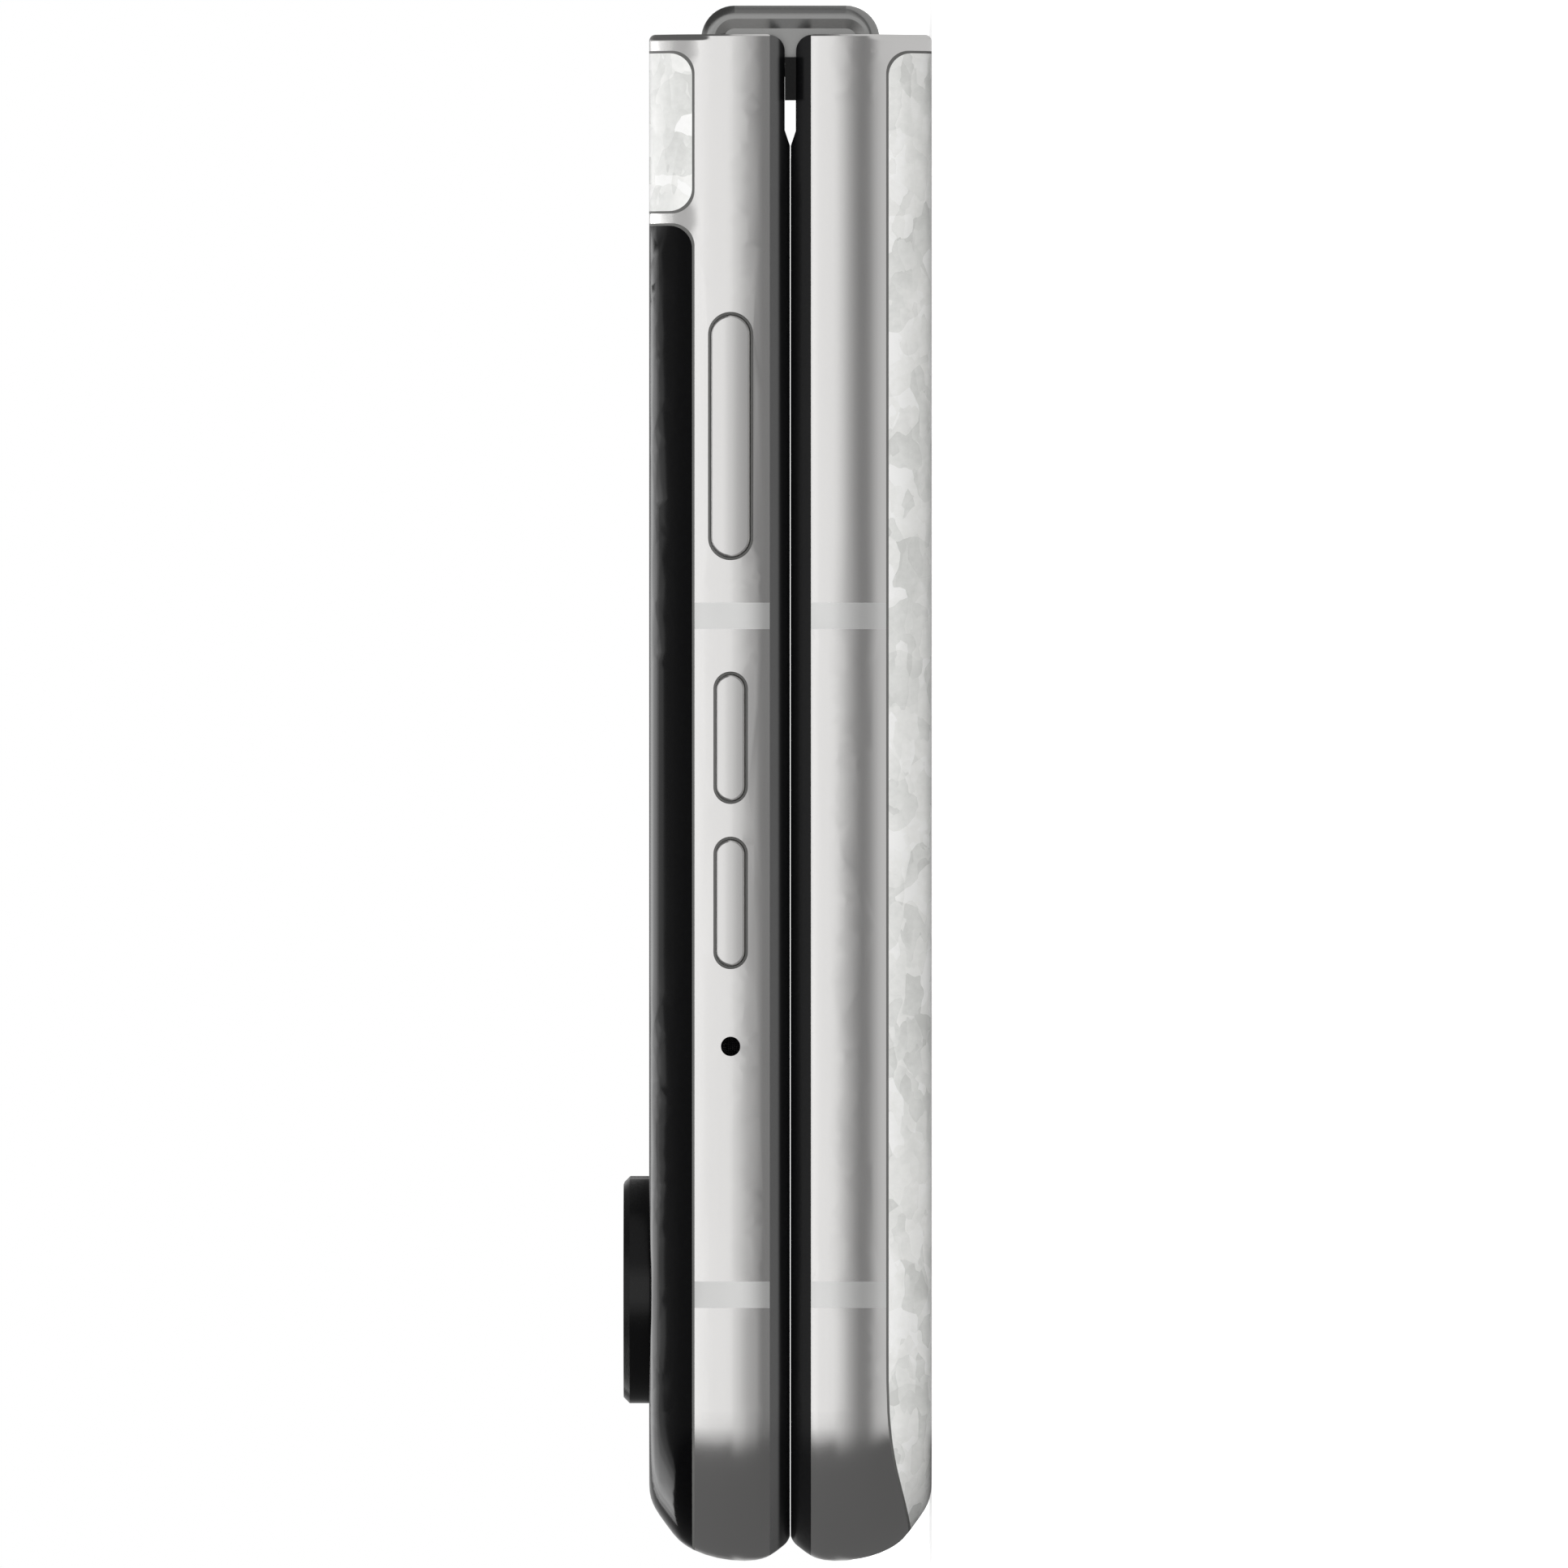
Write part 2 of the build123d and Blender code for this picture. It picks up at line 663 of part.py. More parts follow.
def button_switch(x0, long, tall):
    """Dome switch behind a button, on the side flex."""
    y0 = -(half_width - wall) + button_play + flange_thickness + button_travel + button_play
    x, s = x0 + long / 2, switch_length / 2
    low, high = button_room()
    back = y0 + switch_thickness
    return box(x - s, x + s, y0, back, low, high), back


# ------------------------------------------------------------------ base half
ENVELOPE = trimmed_envelope()
base_panels = [(free_end - 2, panel_end - seam, True)]
strip_start = panel_end - seam - strip_length
glass_end = strip_start - 2 * seam - cross_strip
lid_panels = [(free_end - 2, glass_end, False), (strip_start, panel_end - seam, False)]


def tray_cap(grow, y0, y1):
    face = SlotOverall(tray_x1 - tray_x0 + 2 * grow, tray_cap_height + 2 * grow)
    return side_push(Pos((tray_x0 + tray_x1) / 2, tray_z) * face, y0, y1)


def sim_tray():
    cap = tray_cap(0, half_width - wall, half_width + 1) & ENVELOPE
    low, x0, x1 = tray_z - tray_thick / 2, tray_x0 + tray_shoulder, tray_x1 - tray_shoulder
    tongue = box(x0, x1, half_width - tray_reach, half_width - wall + 0.1, low, low + tray_thick)
    card = box(x0 + card_margin, x1 - card_margin, half_width - tray_reach + card_margin,
               half_width - wall - card_margin, low + tray_thick - card_depth, low + tray_thick + 1)
    pin = rod(tray_x1 - tray_shoulder - 0.9, tray_z, 0.4, half_width - wall / 2, half_width + 1)
    return cap + tongue - card - pin


def sim_reader():
    """Sleeve that the tray slides into, on the lower board."""
    gap, t = reader_gap, reader_wall
    x0, x1 = tray_x0 + tray_shoulder - gap, tray_x1 - tray_shoulder + gap
    z0, z1 = tray_z - tray_thick / 2 - gap, tray_z + tray_thick / 2 + gap
    y0, y1 = half_width - tray_reach - gap, half_width - wall - 1.0
    sleeve = box(x0 - t, x1 + t, y0 - t, y1, board_height + board_thickness, z1 + t / 2)
    return sleeve - box(x0, x1, y0, y1 + 1, z0, z1)


def usb_shell(grow, start, depth):
    """Rounded bar of the port's section, from start to depth inside the free end."""
    face = Plane.YZ * SlotOverall(port_width + 2 * grow, port_thick + 2 * grow)
    return Pos(free_end + start, 0, port_height) * extrude(face, amount=depth - start)


def port_room():
    return usb_shell(port_wall, port_mouth, port_depth)


def usb_port():
    back = port_depth - port_back
    outer = port_room() - usb_shell(0, 0, back)
    w, t = port_tongue_width / 2, port_tongue_thick / 2
    tongue = box(free_end + port_tongue_start, free_end + back, -w, w, port_height - t,
                 port_height + t)
    return outer + tongue


def base_frame():
    body = frame_blank(ENVELOPE, base_panels)
    body -= band_boxes(seam_height + seam)
    body -= tray_cap(tray_clearance, half_width - wall - 1, half_width + 2)
    body -= usb_shell(0, -1, port_mouth)
    body -= port_room()
    for y in (-base_arm_at, base_arm_at):
        body -= arm_recess(y)
        for x in arm_screw_x():
            body -= upright(x, y, screw_shank / 2, plate_top - arm_thickness - screw_depth, plate_top)
    for i in range(grille_count):
        y = speaker_y0 + grille_start + i * grille_pitch
        body -= Pos(free_end, y, port_height) * Rot(0, 90, 0) * Cylinder(grille_hole / 2, 2 * wall + 0.6)
    return body


def antenna_bands():
    return ENVELOPE & band_boxes(seam_height + seam)


def battery(x1):
    """Pouch cell against the mid plate, from the board to x1."""
    z1, x0 = plate_bottom, board_end + battery_from_board
    y = half_width - wall - battery_side
    cell = box(x0, x1, -y, y, z1 - battery_thickness, z1)
    return fillet(cell.edges().filter_by(Axis.Z), battery_corner)


def sub_board():
    z0, z1 = board_height, board_height + board_thickness
    x0, x1 = cavity_x + board_inset, board_end
    board = box(x0, x1, -half_width + wall, half_width - wall, z0, z1)
    board -= box(cavity_x, speaker_x1 + 0.3, speaker_y0 - 0.3, speaker_y1 + 0.3, z0, z1)
    board -= port_room()
    return board & plan_block(wall, x1, z0, z1)


def speaker():
    case = box(speaker_x0, speaker_x1, speaker_y0, speaker_y1, board_height, plate_bottom)
    for i in range(grille_count):
        y = speaker_y0 + grille_start + i * grille_pitch
        case -= Pos(speaker_x0, y, port_height) * Rot(0, 90, 0) * Cylinder(grille_hole / 2, 3.0)
    return case


def vibration_motor():
    x, y = cavity_x + motor_end, -half_width + wall + motor_side
    return box(x, x + motor_length, y, y + motor_width, board_height + board_thickness, plate_bottom)


def charging_coil():
    x = (crossbar_start + board_end) / 2
    ring = upright(x, 0, coil_outer, panel_thickness, panel_thickness + coil_thickness)
    return ring - upright(x, 0, coil_inner, panel_thickness - 1, panel_thickness + coil_thickness + 1)


def magnets():
    """Bar magnets that hold the halves shut."""
    x, y = cavity_x + magnet_end, half_width - wall - magnet_side
    a = box(x, x + magnet_length, -y, magnet_width - y, plate_bottom - magnet_thickness, plate_bottom)
    return a + mirror(a, about=Plane.XZ)


def bumpers():
    """Soft pads beside the hinge that keep the rims apart, the far one a little shorter."""
    pads = []
    for side, start in ((1, far_bumper_start), (-1, bumper_start)):
        y0 = side * (cheek + bumper_inset)
        pads.append(box(slot_start + start, hinge_x - bumper_end, y0, y0 + side * bumper_width,
                        slot_top, slot_top + slot_gap - bumper_clearance))
    return pads[0] + pads[1]


# ------------------------------------------------------------------- lid half
def cover_glass(panel):
    """Cover glass with holes for the cameras and the flash."""
    for y in camera_y:
        panel -= upright(camera_x, y, barrel_diameter / 2, -1, panel_thickness + 1)
    return panel - upright(camera_x, flash_y, flash_diameter / 2, -1, panel_thickness + 1)


def cover_display():
    x0, x1 = free_end + cover_display_end, glass_end - cover_display_hinge
    z0, z1 = panel_thickness, panel_thickness + cover_display_thickness
    y = half_width - cover_display_side
    panel = box(x0, x1, -y, y, z0, z1)
    panel -= box(x0 - 1, camera_x + camera_diameter / 2 + cover_display_cut, -y - 1,
                 flash_y + flash_diameter / 2 + cover_display_cut, z0, z1)
    return fillet(panel.edges().filter_by(Axis.Z), cover_display_thickness)


def lid_frame():
    body = frame_blank(ENVELOPE, lid_panels)
    rib = box(glass_end + seam, strip_start - seam, -half_width + wall, half_width - wall,
              0, rib_height)
    body += rib & ENVELOPE
    body -= band_boxes(seam_height + seam)
    for y in (-lid_arm_at, lid_arm_at):
        body -= arm_recess(y)
        for x in arm_screw_x():
            body -= upright(x, y, screw_shank / 2, plate_top - arm_thickness - screw_depth, plate_top)
    body = to_lid(body)
    for x0, long, tall in button_places():
        body -= button_cut(x0, long, tall)
    z = 2 * half_thickness - button_height
    body -= rod(free_end + mic_at, z, mic_diameter / 2, -half_width - 1, -half_width + wall + 1)
    return body


def button_places():
    return [(free_end + power_start, power_length, power_width),
            (free_end + volume_up_start, volume_length, volume_width),
            (free_end + volume_down_start, volume_length, volume_width)]


def camera_ring(y):
    """Raised ring on the glass with a step for its lens."""
    ring = upright(camera_x, y, camera_diameter / 2, -camera_height, 0)
    ring = chamfer(ring.edges().filter_by(GeomType.CIRCLE).sort_by(Axis.Z)[0], camera_bevel)
    ring += upright(camera_x, y, barrel_diameter / 2, 0, panel_thickness + barrel_depth)
    return ring - upright(camera_x, y, lens_opening / 2, -camera_height - 1,
                          panel_thickness + barrel_depth + 1)


def camera_lens(y):
    top = lens_recess - camera_height
    return upright(camera_x, y, lens_opening / 2, top, top + lens_thickness)


def camera_module(y):
    """Lens barrel and the square sensor case behind the ring."""
    z, c = panel_thickness + barrel_depth, camera_case / 2
    top = lens_recess + lens_thickness - camera_height
    case = box(camera_x - c, camera_x + c, y - c, y + c, z, plate_bottom)
    barrel = upright(camera_x, y, lens_opening / 2 - running_clearance, top, z)
    return case + barrel - upright(camera_x, y, pupil_radius, top - 1, top + lens_thickness)


def main_board():
    z0, z1 = board_height, board_height + board_thickness
    x0, x1 = cavity_x + board_inset, board_end
    board = box(x0, x1, -half_width + wall + board_side, half_width - wall, z0, z1)
    c = camera_case / 2 + camera_room
    board -= box(camera_x - c, camera_x + c, -half_width, camera_y[1] + c, z0, z1)
    return board & plan_block(wall, x1, z0, z1)


def shields():
    """Pressed covers over the chips on the main board."""
    z0, z1 = panel_thickness + cover_display_thickness + board_gap, board_height
    x, y = free_end + chip_cover_at, -half_width + wall + chip_cover_side
    chips = box(x, x + chip_cover_length, y, y + chip_cover_width, z0, z1)
    x, y = free_end + radio_cover_at, half_width - wall - radio_cover_side
    return chips + box(x, x + radio_cover_length, y - radio_cover_width, y, z0, z1)


def selfie_camera():
    """Front camera case against the mid plate, with its window barrel."""
    x, a, b = free_end + selfie_at, selfie_length / 2, selfie_width / 2
    return box(x - a, x + a, -b, b, plate_bottom - front_part_thickness, plate_bottom)


def earpiece():
    x, a, b = free_end + selfie_at, earpiece_length / 2, earpiece_width / 2
    return box(x - a, x + a, earpiece_at - b, earpiece_at + b, plate_bottom - front_part_thickness,
               plate_bottom)


def build_base():
    save(base_frame(), "base_frame")
    save(back_panel(ENVELOPE, *base_panels[0]), "base_back_panel")
    save(panel_seal(base_panels), "base_panel_seal")
    save(bezel(ENVELOPE), "base_bezel")
    save(antenna_bands(), "base_antenna_bands")
    save(display_plate(), "base_display_plate")
    save(plate_screws(), "base_plate_screws")
    save(screen_leaf(), "base_screen")
    save(battery(crossbar_start - battery_gap), "base_battery")
    save(sub_board(), "base_lower_board")
    save(usb_port(), "usb_port")
    save(speaker(), "loudspeaker")
    save(vibration_motor(), "vibration_motor")
    save(charging_coil(), "charging_coil")
    save(magnets(), "base_magnets")
    save(sim_reader(), "sim_reader")
    save(sim_tray(), "sim_tray")
    save(hinge_arm(base_arm_at), "base_hinge_arm_left")
    save(hinge_arm(-base_arm_at), "base_hinge_arm_right")
    save(arm_screws((-base_arm_at, base_arm_at)), "base_arm_screws")
    left, right = both_sides(lambda: sync_gear(axis_low, 0.25))
    save(left + right, "base_gears")
    save(bumpers(), "hinge_bumpers")


def build_spine():
    save(spine_cover(), "spine_cover")
    left, right = both_sides(end_cap)
    save(left, "spine_cap_left")
    save(right, "spine_cap_right")
    left, right = both_sides(hinge_block)
    save(left, "hinge_block_left")
    save(right, "hinge_block_right")
    save(fold_support(), "fold_support")
    save(screen_fold(), "screen_fold")


def build_lid():
    save(lid_frame(), "lid_frame")
    save(to_lid(cover_glass(back_panel(ENVELOPE, *lid_panels[0]))), "cover_glass")
    save(to_lid(back_panel(ENVELOPE, *lid_panels[1])), "lid_back_strip")
    save(to_lid(panel_seal(lid_panels)), "lid_panel_seals")
    save(to_lid(bezel(ENVELOPE)), "lid_bezel")
    save(to_lid(antenna_bands()), "lid_antenna_bands")
    save(to_lid(display_plate()), "lid_display_plate")
    save(to_lid(plate_screws()), "lid_plate_screws")
    save(to_lid(screen_leaf()), "lid_screen")
    save(to_lid(cover_display()), "cover_display")
    save(to_lid(battery(glass_end - rib_room)), "lid_battery")
    save(to_lid(main_board()), "main_board")
    save(to_lid(shields()), "board_shields")
    for y, name in zip(camera_y, ("wide", "main")):
        save(to_lid(camera_ring(y)), f"camera_ring_{name}")
        save(to_lid(camera_lens(y)), f"camera_lens_{name}")
        save(to_lid(camera_module(y)), f"camera_module_{name}")
    save(to_lid(upright(camera_x, flash_y, flash_diameter / 2, 0, panel_thickness)), "flash")
    save(to_lid(selfie_camera()), "selfie_camera")
    save(to_lid(earpiece()), "earpiece")
    save(to_lid(magnets()), "lid_magnets")
    save(to_lid(hinge_arm(lid_arm_at)), "lid_hinge_arm_left")
    save(to_lid(hinge_arm(-lid_arm_at)), "lid_hinge_arm_right")
    save(to_lid(arm_screws((-lid_arm_at, lid_arm_at))), "lid_arm_screws")
    left, right = both_sides(lambda: to_lid(sync_gear(axis_low, 0.75)))
    save(left + right, "lid_gears")
    names = ("power_button", "volume_up_button", "volume_down_button")
    switches = []
    back = 0
    for place, name in zip(button_places(), names):
        save(button(*place), name)
        switch, back = button_switch(*place)
        switches.append(switch)
    low, high = button_room()
    flex = box(free_end + volume_down_start, free_end + power_start + power_length,
               back, back + flex_thickness, 2 * half_thickness - plate_bottom, high)
    save(flex + switches, "button_switches")


build_base()
build_spine()
build_lid()
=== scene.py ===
"""Closed folding phone in a white studio, seen square on from its long edge, hinge up."""
import math

import bmesh
import bpy
from mathutils import Matrix, Vector


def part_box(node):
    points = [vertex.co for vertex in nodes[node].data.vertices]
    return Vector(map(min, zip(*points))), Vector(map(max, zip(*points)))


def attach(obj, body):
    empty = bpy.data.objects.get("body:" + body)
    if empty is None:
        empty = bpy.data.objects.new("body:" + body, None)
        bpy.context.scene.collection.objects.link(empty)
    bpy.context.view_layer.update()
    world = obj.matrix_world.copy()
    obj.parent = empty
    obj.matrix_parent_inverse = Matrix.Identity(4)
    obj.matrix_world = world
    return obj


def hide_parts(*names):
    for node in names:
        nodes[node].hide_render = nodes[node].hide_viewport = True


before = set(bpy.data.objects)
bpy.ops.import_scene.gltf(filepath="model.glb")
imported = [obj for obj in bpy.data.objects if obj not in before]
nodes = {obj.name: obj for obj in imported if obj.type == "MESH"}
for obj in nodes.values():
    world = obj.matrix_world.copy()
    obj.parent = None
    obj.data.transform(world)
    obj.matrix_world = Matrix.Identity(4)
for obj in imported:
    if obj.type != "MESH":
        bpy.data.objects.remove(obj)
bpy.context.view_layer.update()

# ------------------------------------------------------------ sizes, in metres
MM = 0.001
PHONE_LOW, PHONE_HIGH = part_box("base_frame")
GLASS_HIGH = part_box("cover_glass")[1]
SIDE_Y = PHONE_LOW.y                    # long edge with the buttons
FREE_END, HINGE_END = PHONE_LOW.x, PHONE_HIGH.x
MIDDLE_Z = (PHONE_LOW.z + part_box("lid_frame")[1].z) / 2     # between the halves
CORNER = 8.5 * MM                       # radius of the free end's corners, seen from above

LENS = 1400.0                           # so long that the view is practically parallel
SENSOR = 36.0
CLIP = (0.05, 100.0)                    # nearest and farthest that the camera sees
PICTURE_HEIGHT = 88.68 * MM             # what the picture takes in at the long edge
PICTURE_CENTRE = (-0.01 * MM, 8.36 * MM)

FLOOR_SIZE = 8.0
FLOOR_DROP = 0.02 * MM                  # below the phone's back
FLOOR_ROUGHNESS = 0.9

# ------------------------------------------------------ light levels, 1 = white
ROOM_FILL = 0.60                        # even light of the room
ROOM_DARK = 0.11                        # what mirrors see beside the phone
ROOM_TOP = 0.50                         # above and behind it
TOP_BEGINS = (-0.85, -0.60)             # along Y of the direction, where that sets in
MIDDLE_ENDS = (0.10, 0.40)              # along X, where it fades to dark
FLOOR_PAPER = 0.90                      # how much of the lamps' light the floor returns
FLOOR_LIFT = (0.58, 1.0)                # what the camera sees besides, near and far
LIFT_REACH = (0.15, 0.60)               # from the phone's middle, where near ends, far begins
# what polished edges see of the floor, by distance from the phone's side in mm
FLOOR_MIRROR = [(0.0, 0.62), (2.9, 0.60), (4.2, 0.42), (6.0, 0.20), (11.0, 0.19),
                (17.5, 0.38), (30.0, 0.46), (50.0, 0.66), (80.0, 0.72), (110.0, 0.72)]
MIRROR_REACH = 110.0
PAST_END = (0.15, 0.75)                 # slopes between which that fades past the free end
PAST_END_START = 3.0 * MM               # inside the phone's side, where the slopes start

FRONT = (0.0, -1.35, 0.62)
SPILL_BEHIND = 1.002                    # the spill stands just behind the front softbox
SOFTBOXES = (                           # name, place, size, radiance, whether gloss shows it
    ("front_softbox", FRONT, (0.80, 1.35), 0.40, True),
    ("front_spill", tuple(v * SPILL_BEHIND for v in FRONT), (1.34, 1.35), 0.41, True),
    ("low_fill", (0.10, -1.2, 0.10), (0.5, 0.3), 7.5, False),
    ("top_fill", (0.0, 0.0, 1.6), (0.9, 0.9), 0.9, False),
    ("rear_softbox", (0.0, 1.35, 0.70), (1.3, 1.2), 0.4, False),
)
REAR_STRIP_REACH = 0.40                 # from the cover glass's near edge
REAR_STRIP_RISE = math.radians(49)      # how steeply up from there
REAR_STRIP_LONG = 0.26
REAR_STRIP_TALL = (0.16, 0.24, 0.32)    # nested, so that their light fades at the edges
REAR_STRIP_STEP = 1.0 * MM              # from one to the next
REAR_STRIP_PAST = 3.5 * MM              # how far they go past the cover glass at the hinge
REAR_STRIP_RADIANCE = 1.5


# ---------------------------------------------------------------- shader nodes
def add(tree, kind, inputs=None, **settings):
    """New node; each input is a value or the socket that feeds it."""
    node = tree.nodes.new(kind)
    for key, value in settings.items():
        setattr(node, key, value)
    for key, value in (inputs or {}).items():
        if isinstance(value, bpy.types.NodeSocket):
            tree.links.new(value, node.inputs[key])
        else:
            node.inputs[key].default_value = value
    return node


def feed(tree, shader, **sockets):
    """Links each socket given to the shader's input of that name."""
    for key, socket in sockets.items():
        tree.links.new(socket, shader.inputs[key.replace("_", " ")])


def maths(tree, operation, a, b=0.0, clamp=False):
    node = add(tree, "ShaderNodeMath", {0: a, 1: b}, operation=operation, use_clamp=clamp)
    return node.outputs[0]


def scaled(tree, value, by, plus):
    return maths(tree, "ADD", maths(tree, "MULTIPLY", value, by), plus)


def total(tree, first, *others):
    """Sum of values, each given with its share."""
    value = maths(tree, "MULTIPLY", *first)
    for pair in others:
        value = maths(tree, "ADD", value, maths(tree, "MULTIPLY", *pair))
    return value


def vectors(tree, operation, a, b=(0.0, 0.0, 0.0)):
    node = add(tree, "ShaderNodeVectorMath", {0: a, 1: b}, operation=operation)
    return node.outputs["Value" if operation in ("LENGTH", "DOT_PRODUCT") else "Vector"]


def blend(tree, share, a, b):
    """a where share is 0, b where it is 1."""
    return add(tree, "ShaderNodeMix", {0: share, 2: a, 3: b}, data_type="FLOAT").outputs[0]


def blend_colours(tree, share, a, b):
    """The socket a where share is 0, the plain colour b where it is 1."""
    inputs = {0: share, 6: a, 7: (*b, 1)}
    return add(tree, "ShaderNodeMix", inputs, data_type="RGBA").outputs[2]


def ramp(tree, value, low, high, a=0.0, b=1.0):
    """Value between low and high taken smoothly to between a and b."""
    node = add(tree, "ShaderNodeMapRange", {0: value, 1: low, 2: high, 3: a, 4: b},
               interpolation_type="SMOOTHSTEP")
    return node.outputs[0]


def split(tree, vector):
    return add(tree, "ShaderNodeSeparateXYZ", {0: vector}).outputs


def colours(tree, value, *stops):
    """Colour ramp with stops of (place, colour)."""
    node = add(tree, "ShaderNodeValToRGB", {0: value})
    elements = node.color_ramp.elements
    while len(elements) < len(stops):
        elements.new(0.5)
    for element, (at, colour) in zip(elements, stops):
        element.position = at
        element.color = (*colour, 1)
    return node.outputs[0]


def shade(colour, by):
    return tuple(c * by for c in colour)


def grey(level):
    return (level,) * 3


def coordinates(tree, kind="Object"):
    """Coordinates in metres, fixed to the part, or for the room the direction."""
    return add(tree, "ShaderNodeTexCoord").outputs[kind]


def stretched(tree, scale=(1.0, 1.0, 1.0)):
    mapping = {"Vector": coordinates(tree), "Scale": scale}
    return add(tree, "ShaderNodeMapping", mapping).outputs[0]


def noise(tree, scale, detail=2.0, rough=0.5, stretch=(1.0, 1.0, 1.0)):
    inputs = {"Vector": stretched(tree, stretch), "Scale": scale, "Detail": detail,
              "Roughness": rough}
    return add(tree, "ShaderNodeTexNoise", inputs).outputs["Fac"]


def bump(tree, shader, height, depth, under=None):
    """Relief of the given depth on the shader, laid over a wider one where there is any."""
    node = add(tree, "ShaderNodeBump", {"Height": height, "Distance": depth})
    if under is not None:
        tree.links.new(under, node.inputs["Normal"])
    feed(tree, shader, Normal=node.outputs[0])


def new_material(name, colour, roughness, metallic=0.0, **sockets):
    mat = bpy.data.materials.new(name)
    mat.use_nodes = True
    tree = mat.node_tree
    shader = tree.nodes["Principled BSDF"]
    shader.inputs["Base Color"].default_value = (*colour, 1)
    shader.inputs["Roughness"].default_value = roughness
    shader.inputs["Metallic"].default_value = metallic
    for key, value in sockets.items():
        shader.inputs[key.replace("_", " ")].default_value = value
    return mat, tree, shader


# -------------------------------------------------------------- camera, stage
def linked(made):
    bpy.context.scene.collection.objects.link(made)
    return made


def make_camera():
    """Looks along +Y with +X up, so that the hinge is at the top of the picture."""
    data = bpy.data.cameras.new("camera")
    data.sensor_width = SENSOR
    data.lens = LENS
    data.clip_start, data.clip_end = CLIP
    camera = linked(bpy.data.objects.new("camera", data))
    up, back = Vector((1, 0, 0)), Vector((0, -1, 0))
    turn = Matrix((up.cross(back), up, back)).transposed().to_4x4()
    distance = LENS * PICTURE_HEIGHT / SENSOR
    stand = Vector((PICTURE_CENTRE[0], SIDE_Y - distance, PICTURE_CENTRE[1]))
    camera.matrix_world = Matrix.Translation(stand) @ turn
    bpy.context.scene.camera = camera


def area_light(name, stand, size, radiance, glossy=True, diffuse=True):
    """Softbox at stand, turned to the phone, that sends out an even radiance."""
    data = bpy.data.lights.new(name, "AREA")
    data.shape = "RECTANGLE"
    data.size, data.size_y = size
    data.energy = radiance * math.pi * size[0] * size[1]
    lamp = linked(bpy.data.objects.new(name, data))
    lamp.location = stand
    lamp.rotation_euler = (-Vector(stand)).to_track_quat("-Z", "Y").to_euler()
    lamp.visible_camera = False
    lamp.visible_glossy = glossy
    lamp.visible_diffuse = diffuse
    return lamp


def make_lights():
    for softbox in SOFTBOXES:
        area_light(*softbox)
    # strips behind the phone draw the line of gloss on the near edge of its cover glass
    middle = GLASS_HIGH.x + REAR_STRIP_PAST - REAR_STRIP_LONG / 2
    edge = Vector((middle, SIDE_Y, GLASS_HIGH.z))
    aim = Vector((0, math.cos(REAR_STRIP_RISE), math.sin(REAR_STRIP_RISE)))
    for i, tall in enumerate(REAR_STRIP_TALL):
        stand = edge + (REAR_STRIP_REACH + i * REAR_STRIP_STEP) * aim
        strip = area_light(f"rear_strip_{i}", stand, (REAR_STRIP_LONG, tall),
                           REAR_STRIP_RADIANCE, diffuse=False)
        strip.rotation_euler = (REAR_STRIP_RISE - math.radians(90), 0, 0)


def plain_view(tree, path):
    """1 for what the camera sees, straight or through glass."""
    return maths(tree, "ADD", path["Is Camera Ray"], path["Is Transmission Ray"], clamp=True)


def make_world():
    """White for the camera and soft grey as light; for mirrors dark, and brighter behind."""
    world = bpy.data.worlds.new("room")
    world.use_nodes = True
    tree = world.node_tree
    background = tree.nodes["Background"]
    background.inputs["Color"].default_value = (1, 1, 1, 1)
    path = add(tree, "ShaderNodeLightPath").outputs
    direction = split(tree, coordinates(tree, "Generated"))
    above = ramp(tree, direction["Y"], *TOP_BEGINS, ROOM_DARK, ROOM_TOP)
    middle = ramp(tree, maths(tree, "ABSOLUTE", direction["X"]), *MIDDLE_ENDS, 1.0, 0.0)
    mirrored = blend(tree, middle, ROOM_DARK, above)
    strength = blend(tree, path["Is Glossy Ray"], ROOM_FILL, mirrored)
    feed(tree, background, Strength=blend(tree, plain_view(tree, path), strength, 1.0))
    bpy.context.scene.world = world


def make_floor():
    """White floor; what polished metal sees of it is graded like a studio's paper sweep."""
    mesh = bpy.data.meshes.new("floor")
    h = FLOOR_SIZE / 2
    mesh.from_pydata([(-h, -h, 0), (h, -h, 0), (h, h, 0), (-h, h, 0)], [], [(0, 1, 2, 3)])
    floor = linked(bpy.data.objects.new("floor", mesh))
    floor.location.z = -FLOOR_DROP
    paper = grey(FLOOR_PAPER)
    mat, tree, shader = new_material("floor_white", paper, FLOOR_ROUGHNESS,
                                     Specular_IOR_Level=0.0, Emission_Color=(1, 1, 1, 1))
    path = add(tree, "ShaderNodeLightPath").outputs
    where = coordinates(tree)
    x, y, _ = split(tree, where)
    away = maths(tree, "SUBTRACT", maths(tree, "ABSOLUTE", y), -SIDE_Y)
    along = maths(tree, "DIVIDE", away, MIRROR_REACH * MM, clamp=True)
    side = colours(tree, along, *((at / MIRROR_REACH, grey(level)) for at, level in FLOOR_MIRROR))
    # rays that the rounded corners turn aside land past the free end, where the floor is dark
    aside = maths(tree, "SUBTRACT", FREE_END + CORNER, x)
    forward = maths(tree, "ADD", maths(tree, "MAXIMUM", away, 0.0), PAST_END_START)
    past_end = ramp(tree, maths(tree, "DIVIDE", aside, forward), *PAST_END)
    mirrored = blend(tree, past_end, side, ROOM_DARK)
    lift = ramp(tree, vectors(tree, "LENGTH", where), *LIFT_REACH, *FLOOR_LIFT)
    shown = maths(tree, "MULTIPLY", plain_view(tree, path), lift)
    glossy = path["Is Glossy Ray"]
    feed(tree, shader, Base_Color=colours(tree, glossy, (0.0, paper), (1.0, grey(0.0))),
         Emission_Strength=blend(tree, glossy, shown, mirrored))
    mesh.materials.append(mat)


# ------------------------------------------------------------------ materials
# Scales of noise and cells are per metre. A ramp's stops are (place, colour).

